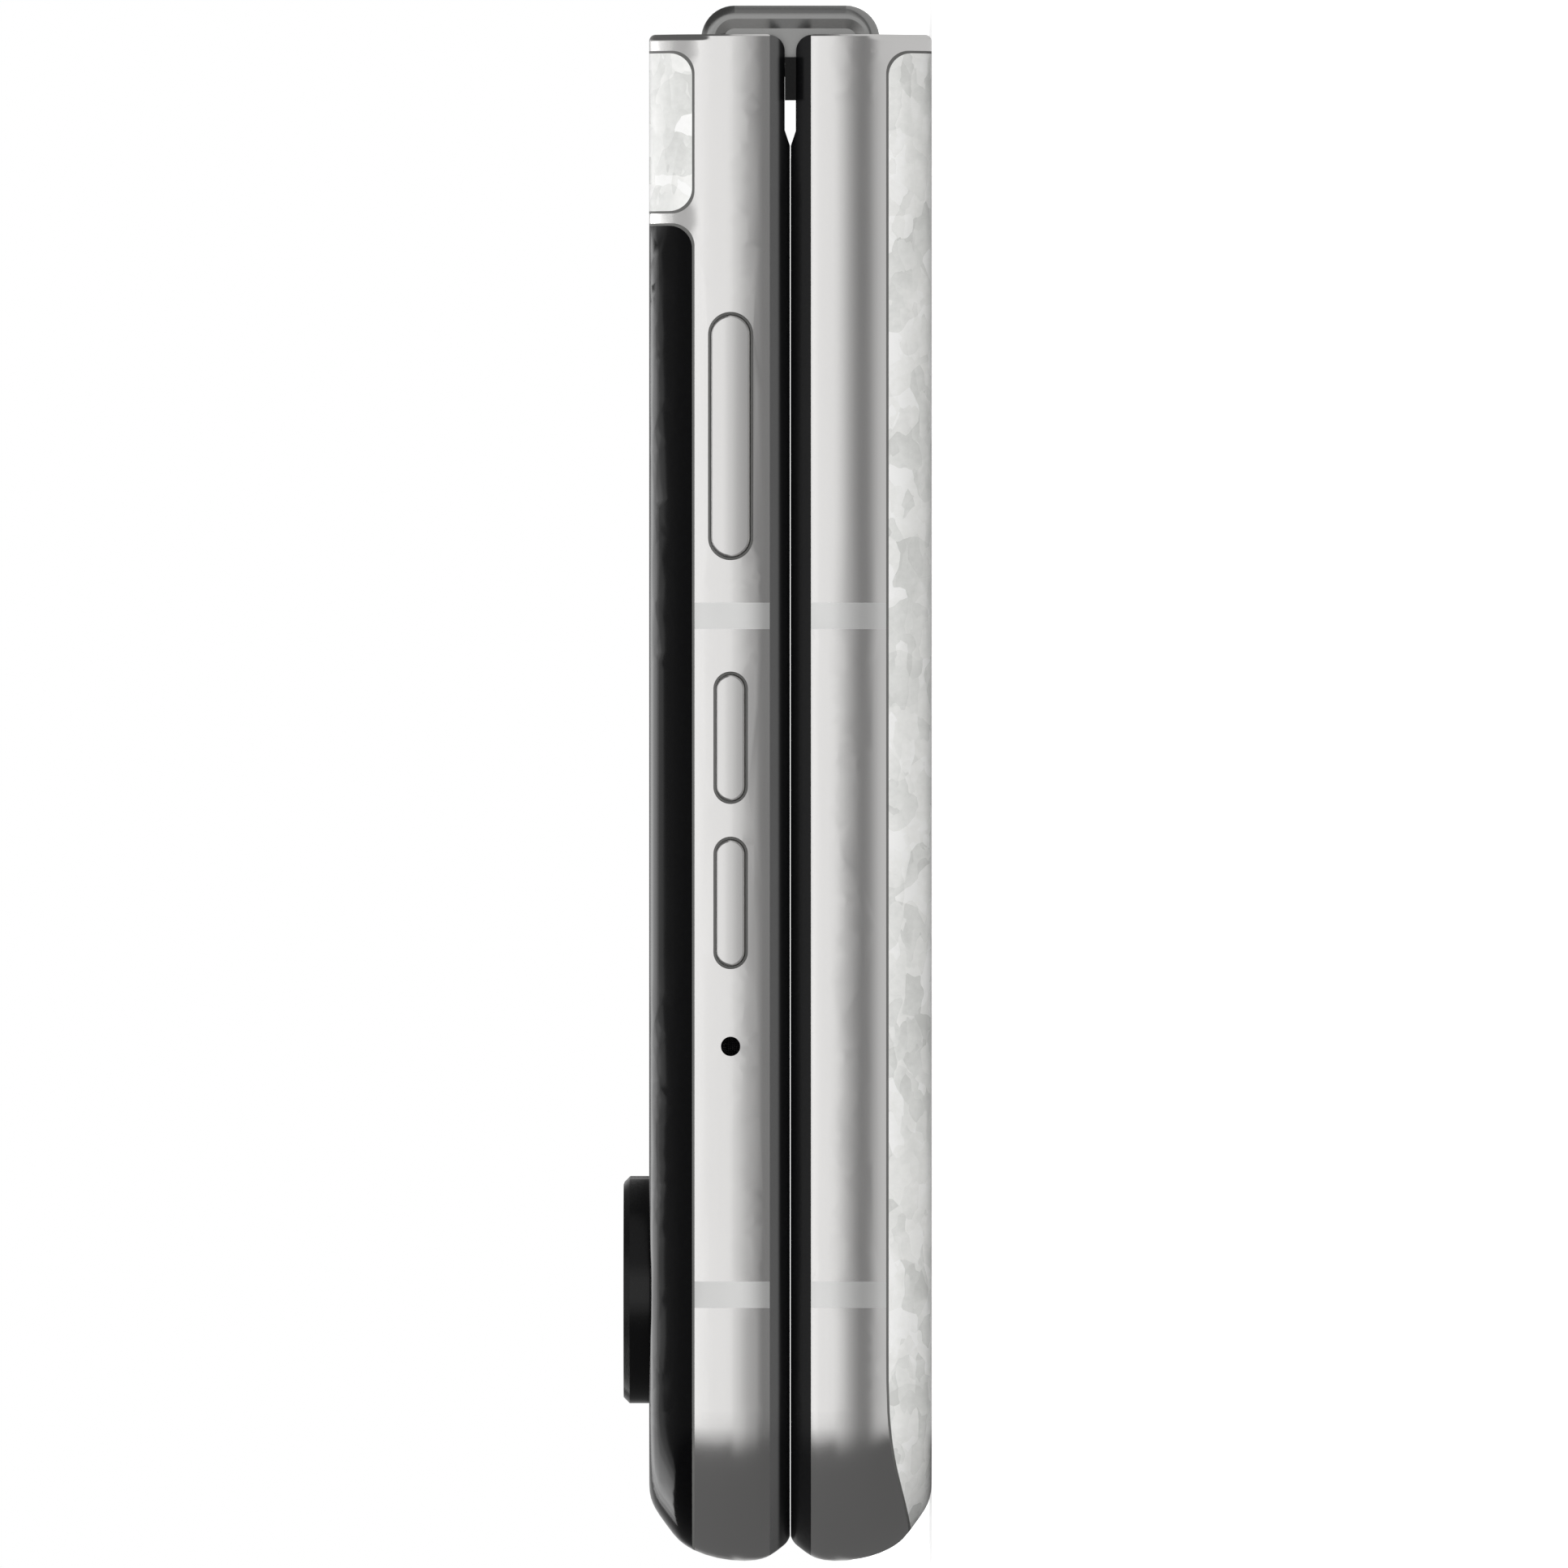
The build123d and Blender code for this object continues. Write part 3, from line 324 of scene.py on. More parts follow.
METAL_FINE, METAL_LINES, METAL_CLOUD = 9000.0, 5200.0, 110.0
DRAWN = (0.02, 1.0, 1.0)                # stretch that makes lines along X
METAL_SHADE = 0.97                      # of the clouds' darker parts
METAL_GLOSS = (0.05, 0.03, 0.03)        # how far grain, clouds and lines change the roughness
METAL_RELIEF = 0.0002 * MM
FINE_RELIEF = 0.6                       # the grain's share in it beside the lines
# Where polishing has rounded the frames: the lid's sides, by height, and the outer edges of
# both hinge ends, along X. Each is given as start, end, rise at the start, rise at the end.
LID_BELLY = (9.15 * MM, 11.85 * MM, 0.0, 0.23 * MM)
LIPS = (HINGE_END - 0.36 * MM, HINGE_END - 0.04 * MM, 0.0, -0.15 * MM)
LIPS_BEGIN = (4.3 * MM, 5.3 * MM)       # from the middle plane


def rounding(tree):
    """Normal of the frames as polishing has rounded them."""
    along, _, up = split(tree, stretched(tree))
    outer = maths(tree, "ABSOLUTE", maths(tree, "SUBTRACT", up, MIDDLE_Z))
    lips = maths(tree, "MULTIPLY", ramp(tree, along, *LIPS), ramp(tree, outer, *LIPS_BEGIN))
    height = maths(tree, "ADD", ramp(tree, up, *LID_BELLY), lips)
    return add(tree, "ShaderNodeBump", {"Height": height, "Distance": 1.0}).outputs[0]


def metal(name, colour, roughness, grain=1.0, rounded=False):
    """Blasted and polished metal: fine grain, faint drawing lines along X, cloudy gloss."""
    mat, tree, shader = new_material(name, colour, roughness, 1.0)
    fine = noise(tree, METAL_FINE)
    lines = noise(tree, METAL_LINES, 3.0, stretch=DRAWN)
    cloud = noise(tree, METAL_CLOUD, 3.0)
    gloss = total(tree, *zip((fine, cloud, lines), METAL_GLOSS))
    feed(tree, shader,
         Base_Color=colours(tree, cloud, (0.25, shade(colour, METAL_SHADE)), (0.75, colour)),
         Roughness=maths(tree, "ADD", gloss, roughness - sum(METAL_GLOSS) / 2))
    relief = scaled(tree, fine, FINE_RELIEF, lines)
    bump(tree, shader, relief, METAL_RELIEF * grain, rounding(tree) if rounded else None)
    return mat


FLAKE_SLOPE = 1.6                       # of the light across a flake


def shards(tree, where, scale, stretch, turn):
    """Angular flakes: each has its own tone and a slope of light across it."""
    turned = add(tree, "ShaderNodeMapping", {"Vector": where, "Scale": stretch,
                                             "Rotation": (turn, 0.6 * turn, turn)}).outputs[0]
    cells = add(tree, "ShaderNodeTexVoronoi", {"Vector": turned, "Scale": scale,
                                               "Randomness": 1.0}, distance="MANHATTAN").outputs
    tones = add(tree, "ShaderNodeSeparateColor", {0: cells["Color"]}).outputs
    inside = vectors(tree, "SUBTRACT", turned, cells["Position"])
    lean = vectors(tree, "SUBTRACT", cells["Color"], grey(0.5))
    slope = vectors(tree, "DOT_PRODUCT", inside, lean)
    return tones, maths(tree, "MULTIPLY", slope, scale * FLAKE_SLOPE)


PEARL_WARP = 420.0, 0.0012              # scale, and how far it bends the flakes' outlines
LARGE_FLAKES = 340.0, (1.0, 1.0, 0.7), 0.5      # scale, stretch, turn
SMALL_FLAKES = 800.0, (0.7, 1.0, 1.0), -0.8
PEARL_FLECKS, FLECKS_STRETCH = 2600.0, (1.0, 0.4, 1.0)
# of the large flakes' tone, the small ones', the slopes of both and the flecks
PEARL_SHARES = (0.42, 0.26, 0.30, 0.22, 0.36)
PEARL_TINTS = ((0.12, (0.70, 0.705, 0.685)), (0.36, (0.83, 0.835, 0.815)),
               (0.58, (0.93, 0.93, 0.91)), (0.76, (1.0, 1.0, 0.99)))
PEARL_GLOSS = 0.25, 0.2                 # how far small flakes change the roughness, its least
PEARL_RELIEF = 0.002 * MM


def pearl(name):
    """Pearl acetate: shards of shell in a clear polished sheet."""
    mat, tree, shader = new_material(name, (0.80, 0.81, 0.79), 0.28, 0.0,
                                     Coat_Weight=0.6, Coat_Roughness=0.03, Coat_IOR=1.5)
    where = stretched(tree)
    scale, far = PEARL_WARP
    warp = add(tree, "ShaderNodeTexNoise", {"Vector": where, "Scale": scale, "Detail": 2.0})
    shift = vectors(tree, "SUBTRACT", warp.outputs["Color"], grey(0.5))
    bent = vectors(tree, "ADD", where, vectors(tree, "MULTIPLY", shift, grey(far)))
    large, large_slope = shards(tree, bent, *LARGE_FLAKES)
    small, small_slope = shards(tree, bent, *SMALL_FLAKES)
    flecks = noise(tree, PEARL_FLECKS, 3.0, 0.6, FLECKS_STRETCH)
    value = total(tree, *zip((large[0], small[0], large_slope, small_slope, flecks),
                             PEARL_SHARES))
    feed(tree, shader, Base_Color=colours(tree, value, *PEARL_TINTS),
         Roughness=scaled(tree, small[1], *PEARL_GLOSS))
    bump(tree, shader, flecks, PEARL_RELIEF)
    return mat


MOULD_FINE, MOULD_CLOUD = 6000.0, 160.0
MOULD_SHADE = 0.85                      # of the clouds' darker parts


def moulded(name, colour, roughness, grain=0.004, uneven=0.12, metallic=0.0, **sockets):
    """Moulded plastic or rubber: a spark-eroded grain, its depth in mm, and uneven gloss."""
    mat, tree, shader = new_material(name, colour, roughness, metallic, **sockets)
    fine = noise(tree, MOULD_FINE, 3.0)
    cloud = noise(tree, MOULD_CLOUD)
    feed(tree, shader,
         Base_Color=colours(tree, cloud, (0.3, shade(colour, MOULD_SHADE)), (0.7, colour)),
         Roughness=scaled(tree, fine, uneven, roughness - uneven / 2))
    bump(tree, shader, fine, grain * MM)
    return mat


RIM_GRAIN, RIM_RELIEF = 5200.0, 0.0005 * MM
RIM_TINTS = ((0.3, (0.0045, 0.0045, 0.005)), (0.7, (0.006, 0.006, 0.0065)))
RIM_HIGHLIGHT_FADE = (0.62 * MM, 0.40 * MM)       # below the top of the lid's rim, where the painted highlight line fades in
# grey painted into the colour at the lid rim's top, standing in for a highlight
RIM_PAINTED_HIGHLIGHT = grey(0.10)


def rim(name):
    """Satin rim of a screen, with a paler line painted along the lid's outer edge as a highlight.
    """
    mat, tree, shader = new_material(name, (0.005, 0.005, 0.0055), 0.28, Specular_IOR_Level=0.35)
    _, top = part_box("lid_bezel")
    height = split(tree, stretched(tree))["Z"]
    # the top of the lid's rim turns paler: a painted highlight line
    edge = ramp(tree, height, *(top.z - below for below in RIM_HIGHLIGHT_FADE))
    grain = noise(tree, RIM_GRAIN)
    dark = colours(tree, grain, *RIM_TINTS)
    feed(tree, shader, Base_Color=blend_colours(tree, edge, dark, RIM_PAINTED_HIGHLIGHT))
    bump(tree, shader, grain, RIM_RELIEF)
    return mat


def rounded_box(tree, low, high, radius, edge):
    """1 inside a rounded box in the XY plane, 0 outside, with a soft edge."""
    x, y, _ = split(tree, coordinates(tree))
    mid, half = (low + high) / 2, (high - low) / 2
    over = []
    for value, centre, reach in ((x, mid.x, half.x - radius), (y, mid.y, half.y - radius)):
        off = maths(tree, "ABSOLUTE", maths(tree, "SUBTRACT", value, centre))
        over.append(maths(tree, "MAXIMUM", maths(tree, "SUBTRACT", off, reach), 0.0))
    corner = add(tree, "ShaderNodeCombineXYZ", {0: over[0], 1: over[1], 2: 0.0}).outputs[0]
    return ramp(tree, vectors(tree, "LENGTH", corner), radius - edge, radius, 1.0, 0.0)


DISPLAY_BORDER, DISPLAY_CORNER, DISPLAY_FADE = 0.4 * MM, 3.0 * MM, 0.1 * MM
DISPLAY_TONE = (0.005, 0.0055, 0.007)


def display_shows(tree):
    """1 over the lit area of the cover display, 0 round it."""
    low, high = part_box("cover_display")
    border = Vector((DISPLAY_BORDER, DISPLAY_BORDER, 0.0))
    return rounded_box(tree, low + border, high - border, DISPLAY_CORNER, DISPLAY_FADE)


SCREEN_WIPE, SCREEN_SPECK = 240.0, 3000.0
WIPED = (1.0, 0.25, 1.0)                # stretch of the wiping marks
SPECK_SHADE = 1.5
SMUDGES = (0.45, 0.8)                   # of the wiping noise, between which they dull the gloss


def black_glass(name, colour, roughness=0.03, smudge=0.04, window=False, **sockets):
    """Glass backed with black: sharp gloss, a trace of wiping marks, a display behind it."""
    mat, tree, shader = new_material(name, colour, roughness, 0.0, IOR=1.5, **sockets)
    wipe = noise(tree, SCREEN_WIPE, 4.0, 0.6, WIPED)
    speck = noise(tree, SCREEN_SPECK)
    base = colours(tree, speck, (0.4, colour), (0.9, shade(colour, SPECK_SHADE)))
    if window:
        base = blend_colours(tree, display_shows(tree), base, DISPLAY_TONE)
    feed(tree, shader, Base_Color=base,
         Roughness=ramp(tree, wipe, *SMUDGES, roughness, roughness + smudge))
    return mat


LENS_WIPE, LENS_WIPED = 500.0, (1.0, 0.3, 1.0)
LENS_GLOSS = (0.5, 0.9, 0.01, 0.05)     # wiping noise from and to, roughness from and to
LENS_TINTS = ((0.4, (0.92, 0.94, 1.0)), (0.9, (0.96, 0.95, 1.0)))


def clear_glass(name):
    """Cover of a camera: clear glass with a coating against reflections."""
    mat, tree, shader = new_material(name, (0.92, 0.94, 1.0), 0.01, 0.0, IOR=1.5,
                                     Transmission_Weight=1.0, Thin_Film_Thickness=105.0,
                                     Thin_Film_IOR=1.25)
    wipe = noise(tree, LENS_WIPE, 3.0, 0.6, LENS_WIPED)
    feed(tree, shader, Base_Color=colours(tree, wipe, *LENS_TINTS),
         Roughness=ramp(tree, wipe, *LENS_GLOSS))
    return mat


ELEMENT_CLOUD = 900.0
ELEMENT_SHARES = (0.8, 0.2)             # of the slope to the eye and the clouds in the tint
ELEMENT_TINTS = ((0.05, (0.012, 0.008, 0.030)), (0.5, (0.006, 0.014, 0.020)),
                 (0.9, (0.002, 0.004, 0.004)))


def coated_lens(name):
    """Front element: deep, with a coating that shifts from violet in the middle to green."""
    mat, tree, shader = new_material(name, (0.01, 0.008, 0.02), 0.02, 0.0, IOR=1.7,
                                     Coat_Weight=0.2, Coat_Roughness=0.01,
                                     Thin_Film_Thickness=125.0, Thin_Film_IOR=1.38)
    facing = add(tree, "ShaderNodeLayerWeight", {0: 0.35}).outputs["Facing"]
    value = total(tree, *zip((facing, noise(tree, ELEMENT_CLOUD)), ELEMENT_SHARES))
    feed(tree, shader, Base_Color=colours(tree, value, *ELEMENT_TINTS))
    return mat


FOIL_CRINKLE, FOIL_CLOUD = 260.0, 350.0
FOIL_FOLD = 0.2                         # from a crinkle's edge, where the foil is flat again
FOIL_SHADE = 0.8
FOIL_RELIEF = 0.02 * MM


def foil(name, colour):
    """Laminated pouch of a cell: crinkled foil."""
    mat, tree, shader = new_material(name, colour, 0.35, 0.6)
    crinkle = add(tree, "ShaderNodeTexVoronoi", {"Vector": stretched(tree),
                                                 "Scale": FOIL_CRINKLE},
                  feature="DISTANCE_TO_EDGE").outputs["Distance"]
    cloud = noise(tree, FOIL_CLOUD, 3.0)
    feed(tree, shader,
         Base_Color=colours(tree, cloud, (0.3, shade(colour, FOIL_SHADE)), (0.7, colour)))
    relief = maths(tree, "ADD", ramp(tree, crinkle, 0.0, FOIL_FOLD), cloud)
    bump(tree, shader, relief, FOIL_RELIEF)
    return mat


BOARD_CELLS = 900.0
TRACK_EDGE = (0.30, 0.36)               # from a cell's middle, where the track ends
TRACK_TINTS = ((0.0, (0.012, 0.07, 0.045)), (1.0, (0.05, 0.16, 0.09)))
TRACK_RELIEF = 0.01 * MM


def board(name):
    """Solder resist over copper tracks."""
    mat, tree, shader = new_material(name, (0.02, 0.09, 0.06), 0.35)
    cells = add(tree, "ShaderNodeTexVoronoi", {"Vector": stretched(tree), "Scale": BOARD_CELLS},
                distance="CHEBYCHEV", feature="F1").outputs["Distance"]
    tracks = ramp(tree, cells, *TRACK_EDGE, 1.0, 0.0)
    feed(tree, shader, Base_Color=colours(tree, tracks, *TRACK_TINTS))
    bump(tree, shader, tracks, TRACK_RELIEF)
    return mat


def radius_in(tree, node_name):
    """Distance from the upright axis through the middle of a node."""
    low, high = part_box(node_name)
    to_axis = (-(low.x + high.x) / 2, -(low.y + high.y) / 2, 0.0)
    moved = add(tree, "ShaderNodeMapping", {"Vector": coordinates(tree), "Location": to_axis,
                                            "Scale": (1.0, 1.0, 0.0)}).outputs[0]
    return vectors(tree, "LENGTH", moved)


WIRE_PITCH, WIRE_RELIEF = 0.8 * MM, 0.05 * MM
WIRE_TINTS = ((0.0, (0.30, 0.13, 0.07)), (0.6, (0.76, 0.40, 0.23)))


def winding(name):
    """Flat copper wire wound in rings round the coil's middle."""
    mat, tree, shader = new_material(name, (0.72, 0.36, 0.20), 0.3, 1.0)
    turns = maths(tree, "MULTIPLY", radius_in(tree, "charging_coil"), 2 * math.pi / WIRE_PITCH)
    turns = maths(tree, "SINE", turns)
    feed(tree, shader, Base_Color=colours(tree, turns, *WIRE_TINTS))
    bump(tree, shader, turns, WIRE_RELIEF)
    return mat


PHOSPHOR_RADIUS = 1.5 * MM
PHOSPHOR_TINTS = ((0.1, (0.93, 0.74, 0.28)), (0.55, (0.93, 0.88, 0.68)),
                  (1.0, (0.86, 0.86, 0.84)))
DIFFUSER_FINE, DIFFUSER_SHARE, DIFFUSER_RELIEF = 4000.0, 0.15, 0.004 * MM


def diffuser(name):
    """Flash window: clear plastic over a pale yellow phosphor."""
    mat, tree, shader = new_material(name, (0.93, 0.88, 0.66), 0.12, 0.0, Coat_Weight=1.0)
    fine = noise(tree, DIFFUSER_FINE)
    out = ramp(tree, radius_in(tree, "flash"), 0.0, PHOSPHOR_RADIUS)
    value = maths(tree, "ADD", out, maths(tree, "MULTIPLY", fine, DIFFUSER_SHARE))
    feed(tree, shader, Base_Color=colours(tree, value, *PHOSPHOR_TINTS))
    bump(tree, shader, fine, DIFFUSER_RELIEF)
    return mat


def make_materials():
    """Finish of each slot of the record."""
    return {
        "frame_metal": metal("frame_metal", (0.845, 0.835, 0.825), 0.24, rounded=True),
        "spine_metal": metal("spine_metal", (0.36, 0.36, 0.355), 0.24),
        "pearl": pearl("pearl"),
        "seal": moulded("seal", (0.14, 0.14, 0.135), 0.6),
        "rim": rim("rim"),
        "band": moulded("band", (0.82, 0.82, 0.81), 0.32, 0.0001, 0.02, metallic=0.8),
        "rubber": moulded("rubber", (0.004, 0.004, 0.004), 0.6, Specular_IOR_Level=0.3),
        "steel": metal("steel", (0.50, 0.50, 0.505), 0.30, 2.0),
        "screen": black_glass("screen", (0.004, 0.0042, 0.005), 0.06, 0.05),
        "cover_glass": black_glass("cover_glass", (0.002, 0.002, 0.0022), 0.10, window=True,
                                   Specular_IOR_Level=0.08),
        "cover_display": black_glass("cover_display", (0.003, 0.003, 0.004)),
        "cell": foil("cell", (0.16, 0.16, 0.17)),
        "board": board("board"),
        "shield": metal("shield", (0.62, 0.62, 0.62), 0.35, 2.0),
        "dark_plastic": moulded("dark_plastic", (0.02, 0.02, 0.022), 0.5),
        "copper": winding("copper"),
        "magnet": metal("magnet", (0.62, 0.61, 0.58), 0.25),
        "gear_steel": metal("gear_steel", (0.14, 0.14, 0.145), 0.40, 3.0),
        "ring": moulded("ring", (0.003, 0.003, 0.0032), 0.20, 0.0005, Specular_IOR_Level=0.35),
        "lens": clear_glass("lens"),
        "flash": diffuser("flash"),
    }


def make_looks():
    """Finishes for detail pieces, besides those of the record's slots."""
    return {
        "barrel": moulded("barrel", (0.006, 0.006, 0.007), 0.35, 0.001, Specular_IOR_Level=0.4),
        "element": coated_lens("element"),
        "gold": metal("gold", (0.83, 0.60, 0.30), 0.25),
        "cloth": metal("cloth", (0.09, 0.09, 0.095), 0.35, 2.0),
    }


def dress_nodes():
    for node in nodes.values():
        for held in node.material_slots:
            held.material = MATERIALS[held.name.split(".")[0]]


# ----------------------------------------------------- detail pieces, in mm
ROUND_SIDES = 128
PLAY = 0.01                             # between a round piece and what it sits in or on


def piece(name, bm, body, mat, smooth_below=35.0):
    """Object from bm that rides on body, with the finish mat."""
    mesh = bpy.data.meshes.new(name)
    bmesh.ops.recalc_face_normals(bm, faces=bm.faces)
    bm.to_mesh(mesh)
    bm.free()
    mesh.shade_smooth()
    mesh.set_sharp_from_angle(angle=math.radians(smooth_below))
    mesh.materials.append(mat)
    made = linked(bpy.data.objects.new(name, mesh))
    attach(made, body)
    return made


def seat(node_name):
    """Top centre of a round node in metres, its radius less the play and its depth in mm."""
    low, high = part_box(node_name)
    centre = ((low.x + high.x) / 2, (low.y + high.y) / 2, high.z)
    return centre, (high.x - low.x) / 2 / MM - PLAY, (high.z - low.z) / MM


def dome(radius, base, rise, steps):
    """Quarter arc of a profile, from its rim at the height base to the axis."""
    arc = []
    for k in range(1, steps + 1):
        a = math.radians(90 * k / steps)
        arc.append((radius * math.cos(a) if k < steps else 0, base + rise * math.sin(a)))
    return arc


def bridge(bm, a, b):
    """Faces between two rings with the same number of points."""
    for i in range(len(a)):
        j = (i + 1) % len(a)
        bm.faces.new((a[i], a[j], b[j], b[i]))


def lathe(profile, centre):
    """Closed solid of revolution about Z: (radius, height), first and last on the axis."""
    bm = bmesh.new()
    rings = []
    for radius, height in profile:
        z = centre[2] + height * MM
        if radius == 0.0:
            rings.append([bm.verts.new((centre[0], centre[1], z))])
            continue
        ring = []
        for i in range(ROUND_SIDES):
            a = 2 * math.pi * i / ROUND_SIDES
            ring.append(bm.verts.new((centre[0] + radius * MM * math.cos(a),
                                      centre[1] + radius * MM * math.sin(a), z)))
        rings.append(ring)
    for a, b in zip(rings, rings[1:]):
        if len(a) == len(b):
            bridge(bm, a, b)
            continue
        for i in range(ROUND_SIDES):
            j = (i + 1) % ROUND_SIDES
            bm.faces.new((a[0], b[i], b[j]) if len(a) == 1 else (a[i], a[j], b[0]))
    return bm


def block(bm, low, high, bevel):
    """Box with bevelled edges, added to bm."""
    verts = bmesh.ops.create_cube(bm, size=1.0)["verts"]
    mid = [(a + b) / 2 * MM for a, b in zip(low, high)]
    size = [(b - a) * MM for a, b in zip(low, high)]
    for v in verts:
        v.co = Vector([m + s * c for m, s, c in zip(mid, size, v.co)])
    edges = {e for v in verts for e in v.link_edges}
    bmesh.ops.bevel(bm, geom=list(edges), offset=bevel * MM, segments=2, affect="EDGES",
                    profile=0.5)


CLOTH_PITCH, CLOTH_WIRE = 0.12, 0.05


def mesh_disc(bm, centre, u, v, radius):
    """Woven wire cloth cut round: wires along u and v pass over and under each other."""
    w = u.cross(v)
    count = int(radius / CLOTH_PITCH)
    for along, across, phase in ((u, v, 0), (v, u, 1)):
        for k in range(-count, count + 1):
            reach = math.sqrt(max(radius ** 2 - (k * CLOTH_PITCH) ** 2, 0.0))
            steps = int(reach / CLOTH_PITCH)
            if steps < 1:
                continue
            before = None
            for s in range(-steps, steps + 1):
                swing = 0.5 * CLOTH_WIRE * (1 if (s + k + phase) % 2 else -1)
                mid = centre + (along * (s * CLOTH_PITCH) + across * (k * CLOTH_PITCH)
                                + w * swing) * MM
                ring = [bm.verts.new(mid + (across * a + w * b) * (CLOTH_WIRE / 2 * MM))
                        for a, b in ((1, 0), (0, 1), (-1, 0), (0, -1))]
                if before:
                    bridge(bm, before, ring)
                else:
                    bm.faces.new(ring)
                before = ring
            bm.faces.new(tuple(reversed(before)))


COVER_THICK = 0.14
COVER_BEVEL = (0.06, 0.05)              # inwards, down
BARREL_MOUTH = 0.75                     # width of the barrel's flat mouth under the cover
# down the barrel: distance inwards from its outside, depth below the cover's top
BARREL_STEPS = ((0.80, 0.20), (1.25, 0.21), (1.30, 0.29), (1.70, 0.30), (1.76, 0.38),
                (2.10, 0.39), (2.16, 0.48))
ELEMENT_INSET, ELEMENT_DEPTH, ELEMENT_RISE = 2.2, 0.50, 0.26


def make_camera_optics(name):
    """Cover glass, stepped barrel and domed front element, in the space of the CAD lens."""
    node = "camera_lens_" + name
    centre, r, depth = seat(node)
    inwards, down = COVER_BEVEL
    profile = [(0, 0), (r - inwards, 0), (r, -down), (r, -COVER_THICK), (0, -COVER_THICK)]
    cover = piece("camera_cover_" + name, lathe(profile, centre), "lid",
                  MATERIALS["lens"])
    mouth = -COVER_THICK - PLAY
    profile = [(0, -depth), (r, -depth), (r, mouth), (r - BARREL_MOUTH, mouth)]
    profile += [(r - inwards, -down) for inwards, down in BARREL_STEPS]
    profile.append((0, -BARREL_STEPS[-1][1]))
    piece("camera_barrel_" + name, lathe(profile, centre), "lid", LOOKS["barrel"])
    front = r - ELEMENT_INSET
    profile = [(0, -ELEMENT_DEPTH), (front, -ELEMENT_DEPTH)]
    profile += dome(front, -ELEMENT_DEPTH, ELEMENT_RISE, 8)
    piece("camera_element_" + name, lathe(profile, centre), "lid", LOOKS["element"])
    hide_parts(node)


FLASH_RINGS, FLASH_PITCH, FLASH_STEP = 5, 0.22, 0.01
FLASH_MIDDLE, FLASH_GROOVE, FLASH_CREST = -0.05, -0.09, -0.04      # heights
# round the rings: distance inwards from the window's outside, height
FLASH_BORDER = ((0.25, FLASH_CREST), (0.22, -0.01), (0.05, -0.01), (0, -0.05))


def make_flash():
    """Fresnel window of the flash."""
    centre, r, depth = seat("flash")
    profile = [(0, FLASH_MIDDLE)]
    for k in range(1, FLASH_RINGS + 1):
        profile += [(FLASH_PITCH * k - FLASH_STEP, FLASH_GROOVE),
                    (FLASH_PITCH * k + FLASH_STEP, FLASH_CREST)]
    profile += [(r - inwards, height) for inwards, height in FLASH_BORDER]
    profile += [(r, -depth), (0, -depth)]
    window = piece("flash_window", lathe(profile, centre), "lid", MATERIALS["flash"],
                   20.0)
    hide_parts("flash")


TONGUE_ENDS = (-42.09, -37.6)           # along X
TONGUE_HALF = (3.33, 0.38)              # width and height, from its middle
TONGUE_BEVEL = 0.12
CONTACTS, CONTACT_PITCH = 12, 0.5
CONTACT_HALF = (0.13, 0.012)
CONTACT_BEVEL = 0.008
CONTACT_LEVEL = 0.385                   # above and below the tongue's middle
CONTACT_INSET = (0.35, 0.5)             # from the tongue's ends


def make_port_details():
    """Plastic tongue sleeve with gold contacts inside the charging port."""
    low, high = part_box("usb_port")
    z = (low.z + high.z) / 2 / MM
    start, end = TONGUE_ENDS
    wide, tall = TONGUE_HALF
    bm = bmesh.new()
    block(bm, (start, -wide, z - tall), (end, wide, z + tall), TONGUE_BEVEL)
    piece("usb_tongue", bm, "base", MATERIALS["dark_plastic"])
    start, end = start + CONTACT_INSET[0], end - CONTACT_INSET[1]
    wide, tall = CONTACT_HALF
    bm = bmesh.new()
    for k in range(CONTACTS):
        y = (k - (CONTACTS - 1) / 2) * CONTACT_PITCH
        for side in (1, -1):
            face = z + side * CONTACT_LEVEL
            block(bm, (start, y - wide, face - tall), (end, y + wide, face + tall),
                  CONTACT_BEVEL)
    piece("usb_contacts", bm, "base", LOOKS["gold"])


SPEAKER_HOLES, SPEAKER_PITCH = 6, 2.6
SPEAKER_FIRST = (8.7, 3.9)              # Y and Z of the first hole
SPEAKER_DEPTH, SPEAKER_RADIUS = 0.75, 0.62
MICROPHONE = (-14.85, 11.38)            # X and Z
MICROPHONE_DEPTH, MICROPHONE_RADIUS = 0.9, 0.56


def make_grilles():
    """Wire cloth behind the loudspeaker holes and the microphone hole."""
    y, z = SPEAKER_FIRST
    bm = bmesh.new()
    for k in range(SPEAKER_HOLES):
        centre = Vector((FREE_END + SPEAKER_DEPTH * MM, (y + SPEAKER_PITCH * k) * MM, z * MM))
        mesh_disc(bm, centre, Vector((0, 1, 0)), Vector((0, 0, 1)), SPEAKER_RADIUS)
    piece("speaker_cloth", bm, "base", LOOKS["cloth"])
    x, z = MICROPHONE
    bm = bmesh.new()
    centre = Vector((x * MM, SIDE_Y + MICROPHONE_DEPTH * MM, z * MM))
    mesh_disc(bm, centre, Vector((1, 0, 0)), Vector((0, 0, 1)), MICROPHONE_RADIUS)
    piece("microphone_cloth", bm, "lid", LOOKS["cloth"])


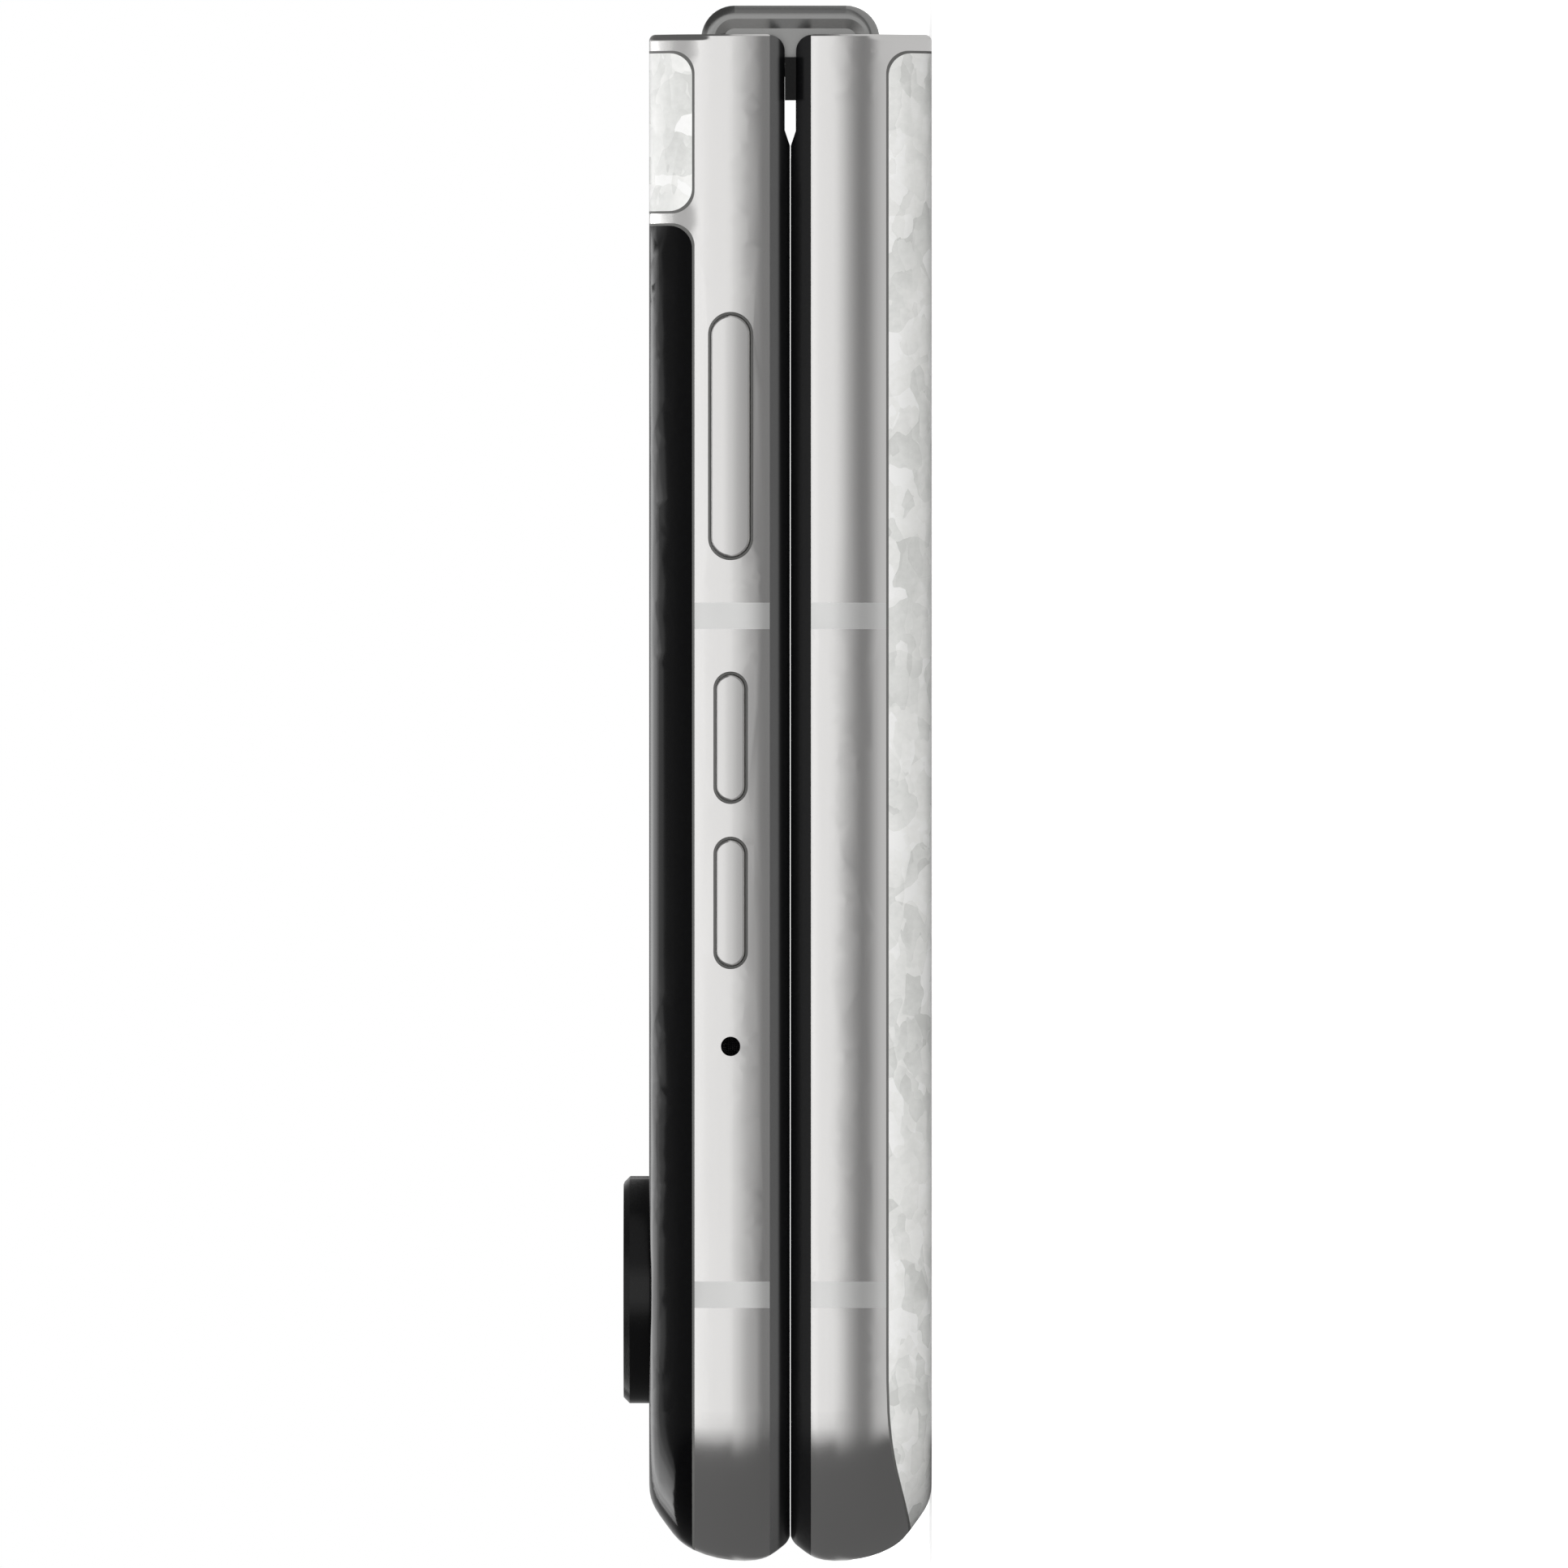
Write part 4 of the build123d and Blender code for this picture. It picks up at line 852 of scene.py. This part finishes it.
BUTTON_HEIGHTS = (("power_button", 2.21), ("volume_up_button", 1.61),
                  ("volume_down_button", 1.61))
BUTTONS_DOWN = 4.62                     # from the top of the cover glass to their middle
BUTTON_FLANGE = 0.45                    # beyond what shows of a button, at each end
# section of the ring: distance out from the button, depth below the long edge
SEAL_SECTION = ((0.03, 0.22), (0.16, 0.22), (0.16, 0.70), (0.03, 0.70))
SEAL_STEPS = 24                         # round each end


def make_button_seals():
    """Rubber ring in the gap round each button, a little below the surface."""
    bm = bmesh.new()
    mid = GLASS_HIGH.z - BUTTONS_DOWN * MM
    for name, tall in BUTTON_HEIGHTS:
        low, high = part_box(name)
        radius = tall / 2 * MM
        flange = BUTTON_FLANGE * MM
        ends = ((high.x - flange - radius, -90), (low.x + flange + radius, 90))
        rings = []
        for out, down in SEAL_SECTION:
            reach, ring = radius + out * MM, []
            for end, start in ends:
                for k in range(SEAL_STEPS + 1):
                    a = math.radians(start + 180 * k / SEAL_STEPS)
                    ring.append(bm.verts.new((end + reach * math.cos(a), SIDE_Y + down * MM,
                                              mid + reach * math.sin(a))))
            rings.append(ring)
        for a, b in zip(rings, rings[1:] + rings[:1]):
            bridge(bm, a, b)
    piece("button_seals", bm, "lid", MATERIALS["seal"])


# radius, height above the screen's face, which is the lid's underside
SELFIE_RING = ((0, 0.02), (1.75, 0.02), (1.80, -0.01), (1.72, -0.03), (1.35, -0.03),
               (1.28, -0.012), (0.95, -0.012))
SELFIE_RISE = -0.05


def make_selfie_window():
    """Round window of the inner camera, on the lid's screen, which looks down at rest."""
    (x, y, _), _, _ = seat("selfie_camera")
    screen_low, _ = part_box("lid_screen")
    profile = [*SELFIE_RING, *dome(*SELFIE_RING[-1], SELFIE_RISE, 6)]
    piece("selfie_window", lathe(profile, (x, y, screen_low.z)), "lid",
          LOOKS["element"])


MATERIALS = make_materials()
LOOKS = make_looks()

make_world()
make_floor()
make_lights()
make_camera()
dress_nodes()
for lens in ("wide", "main"):
    make_camera_optics(lens)
make_flash()
make_port_details()
make_grilles()
make_button_seals()
make_selfie_window()

bpy.context.scene.view_settings.view_transform = "Standard"
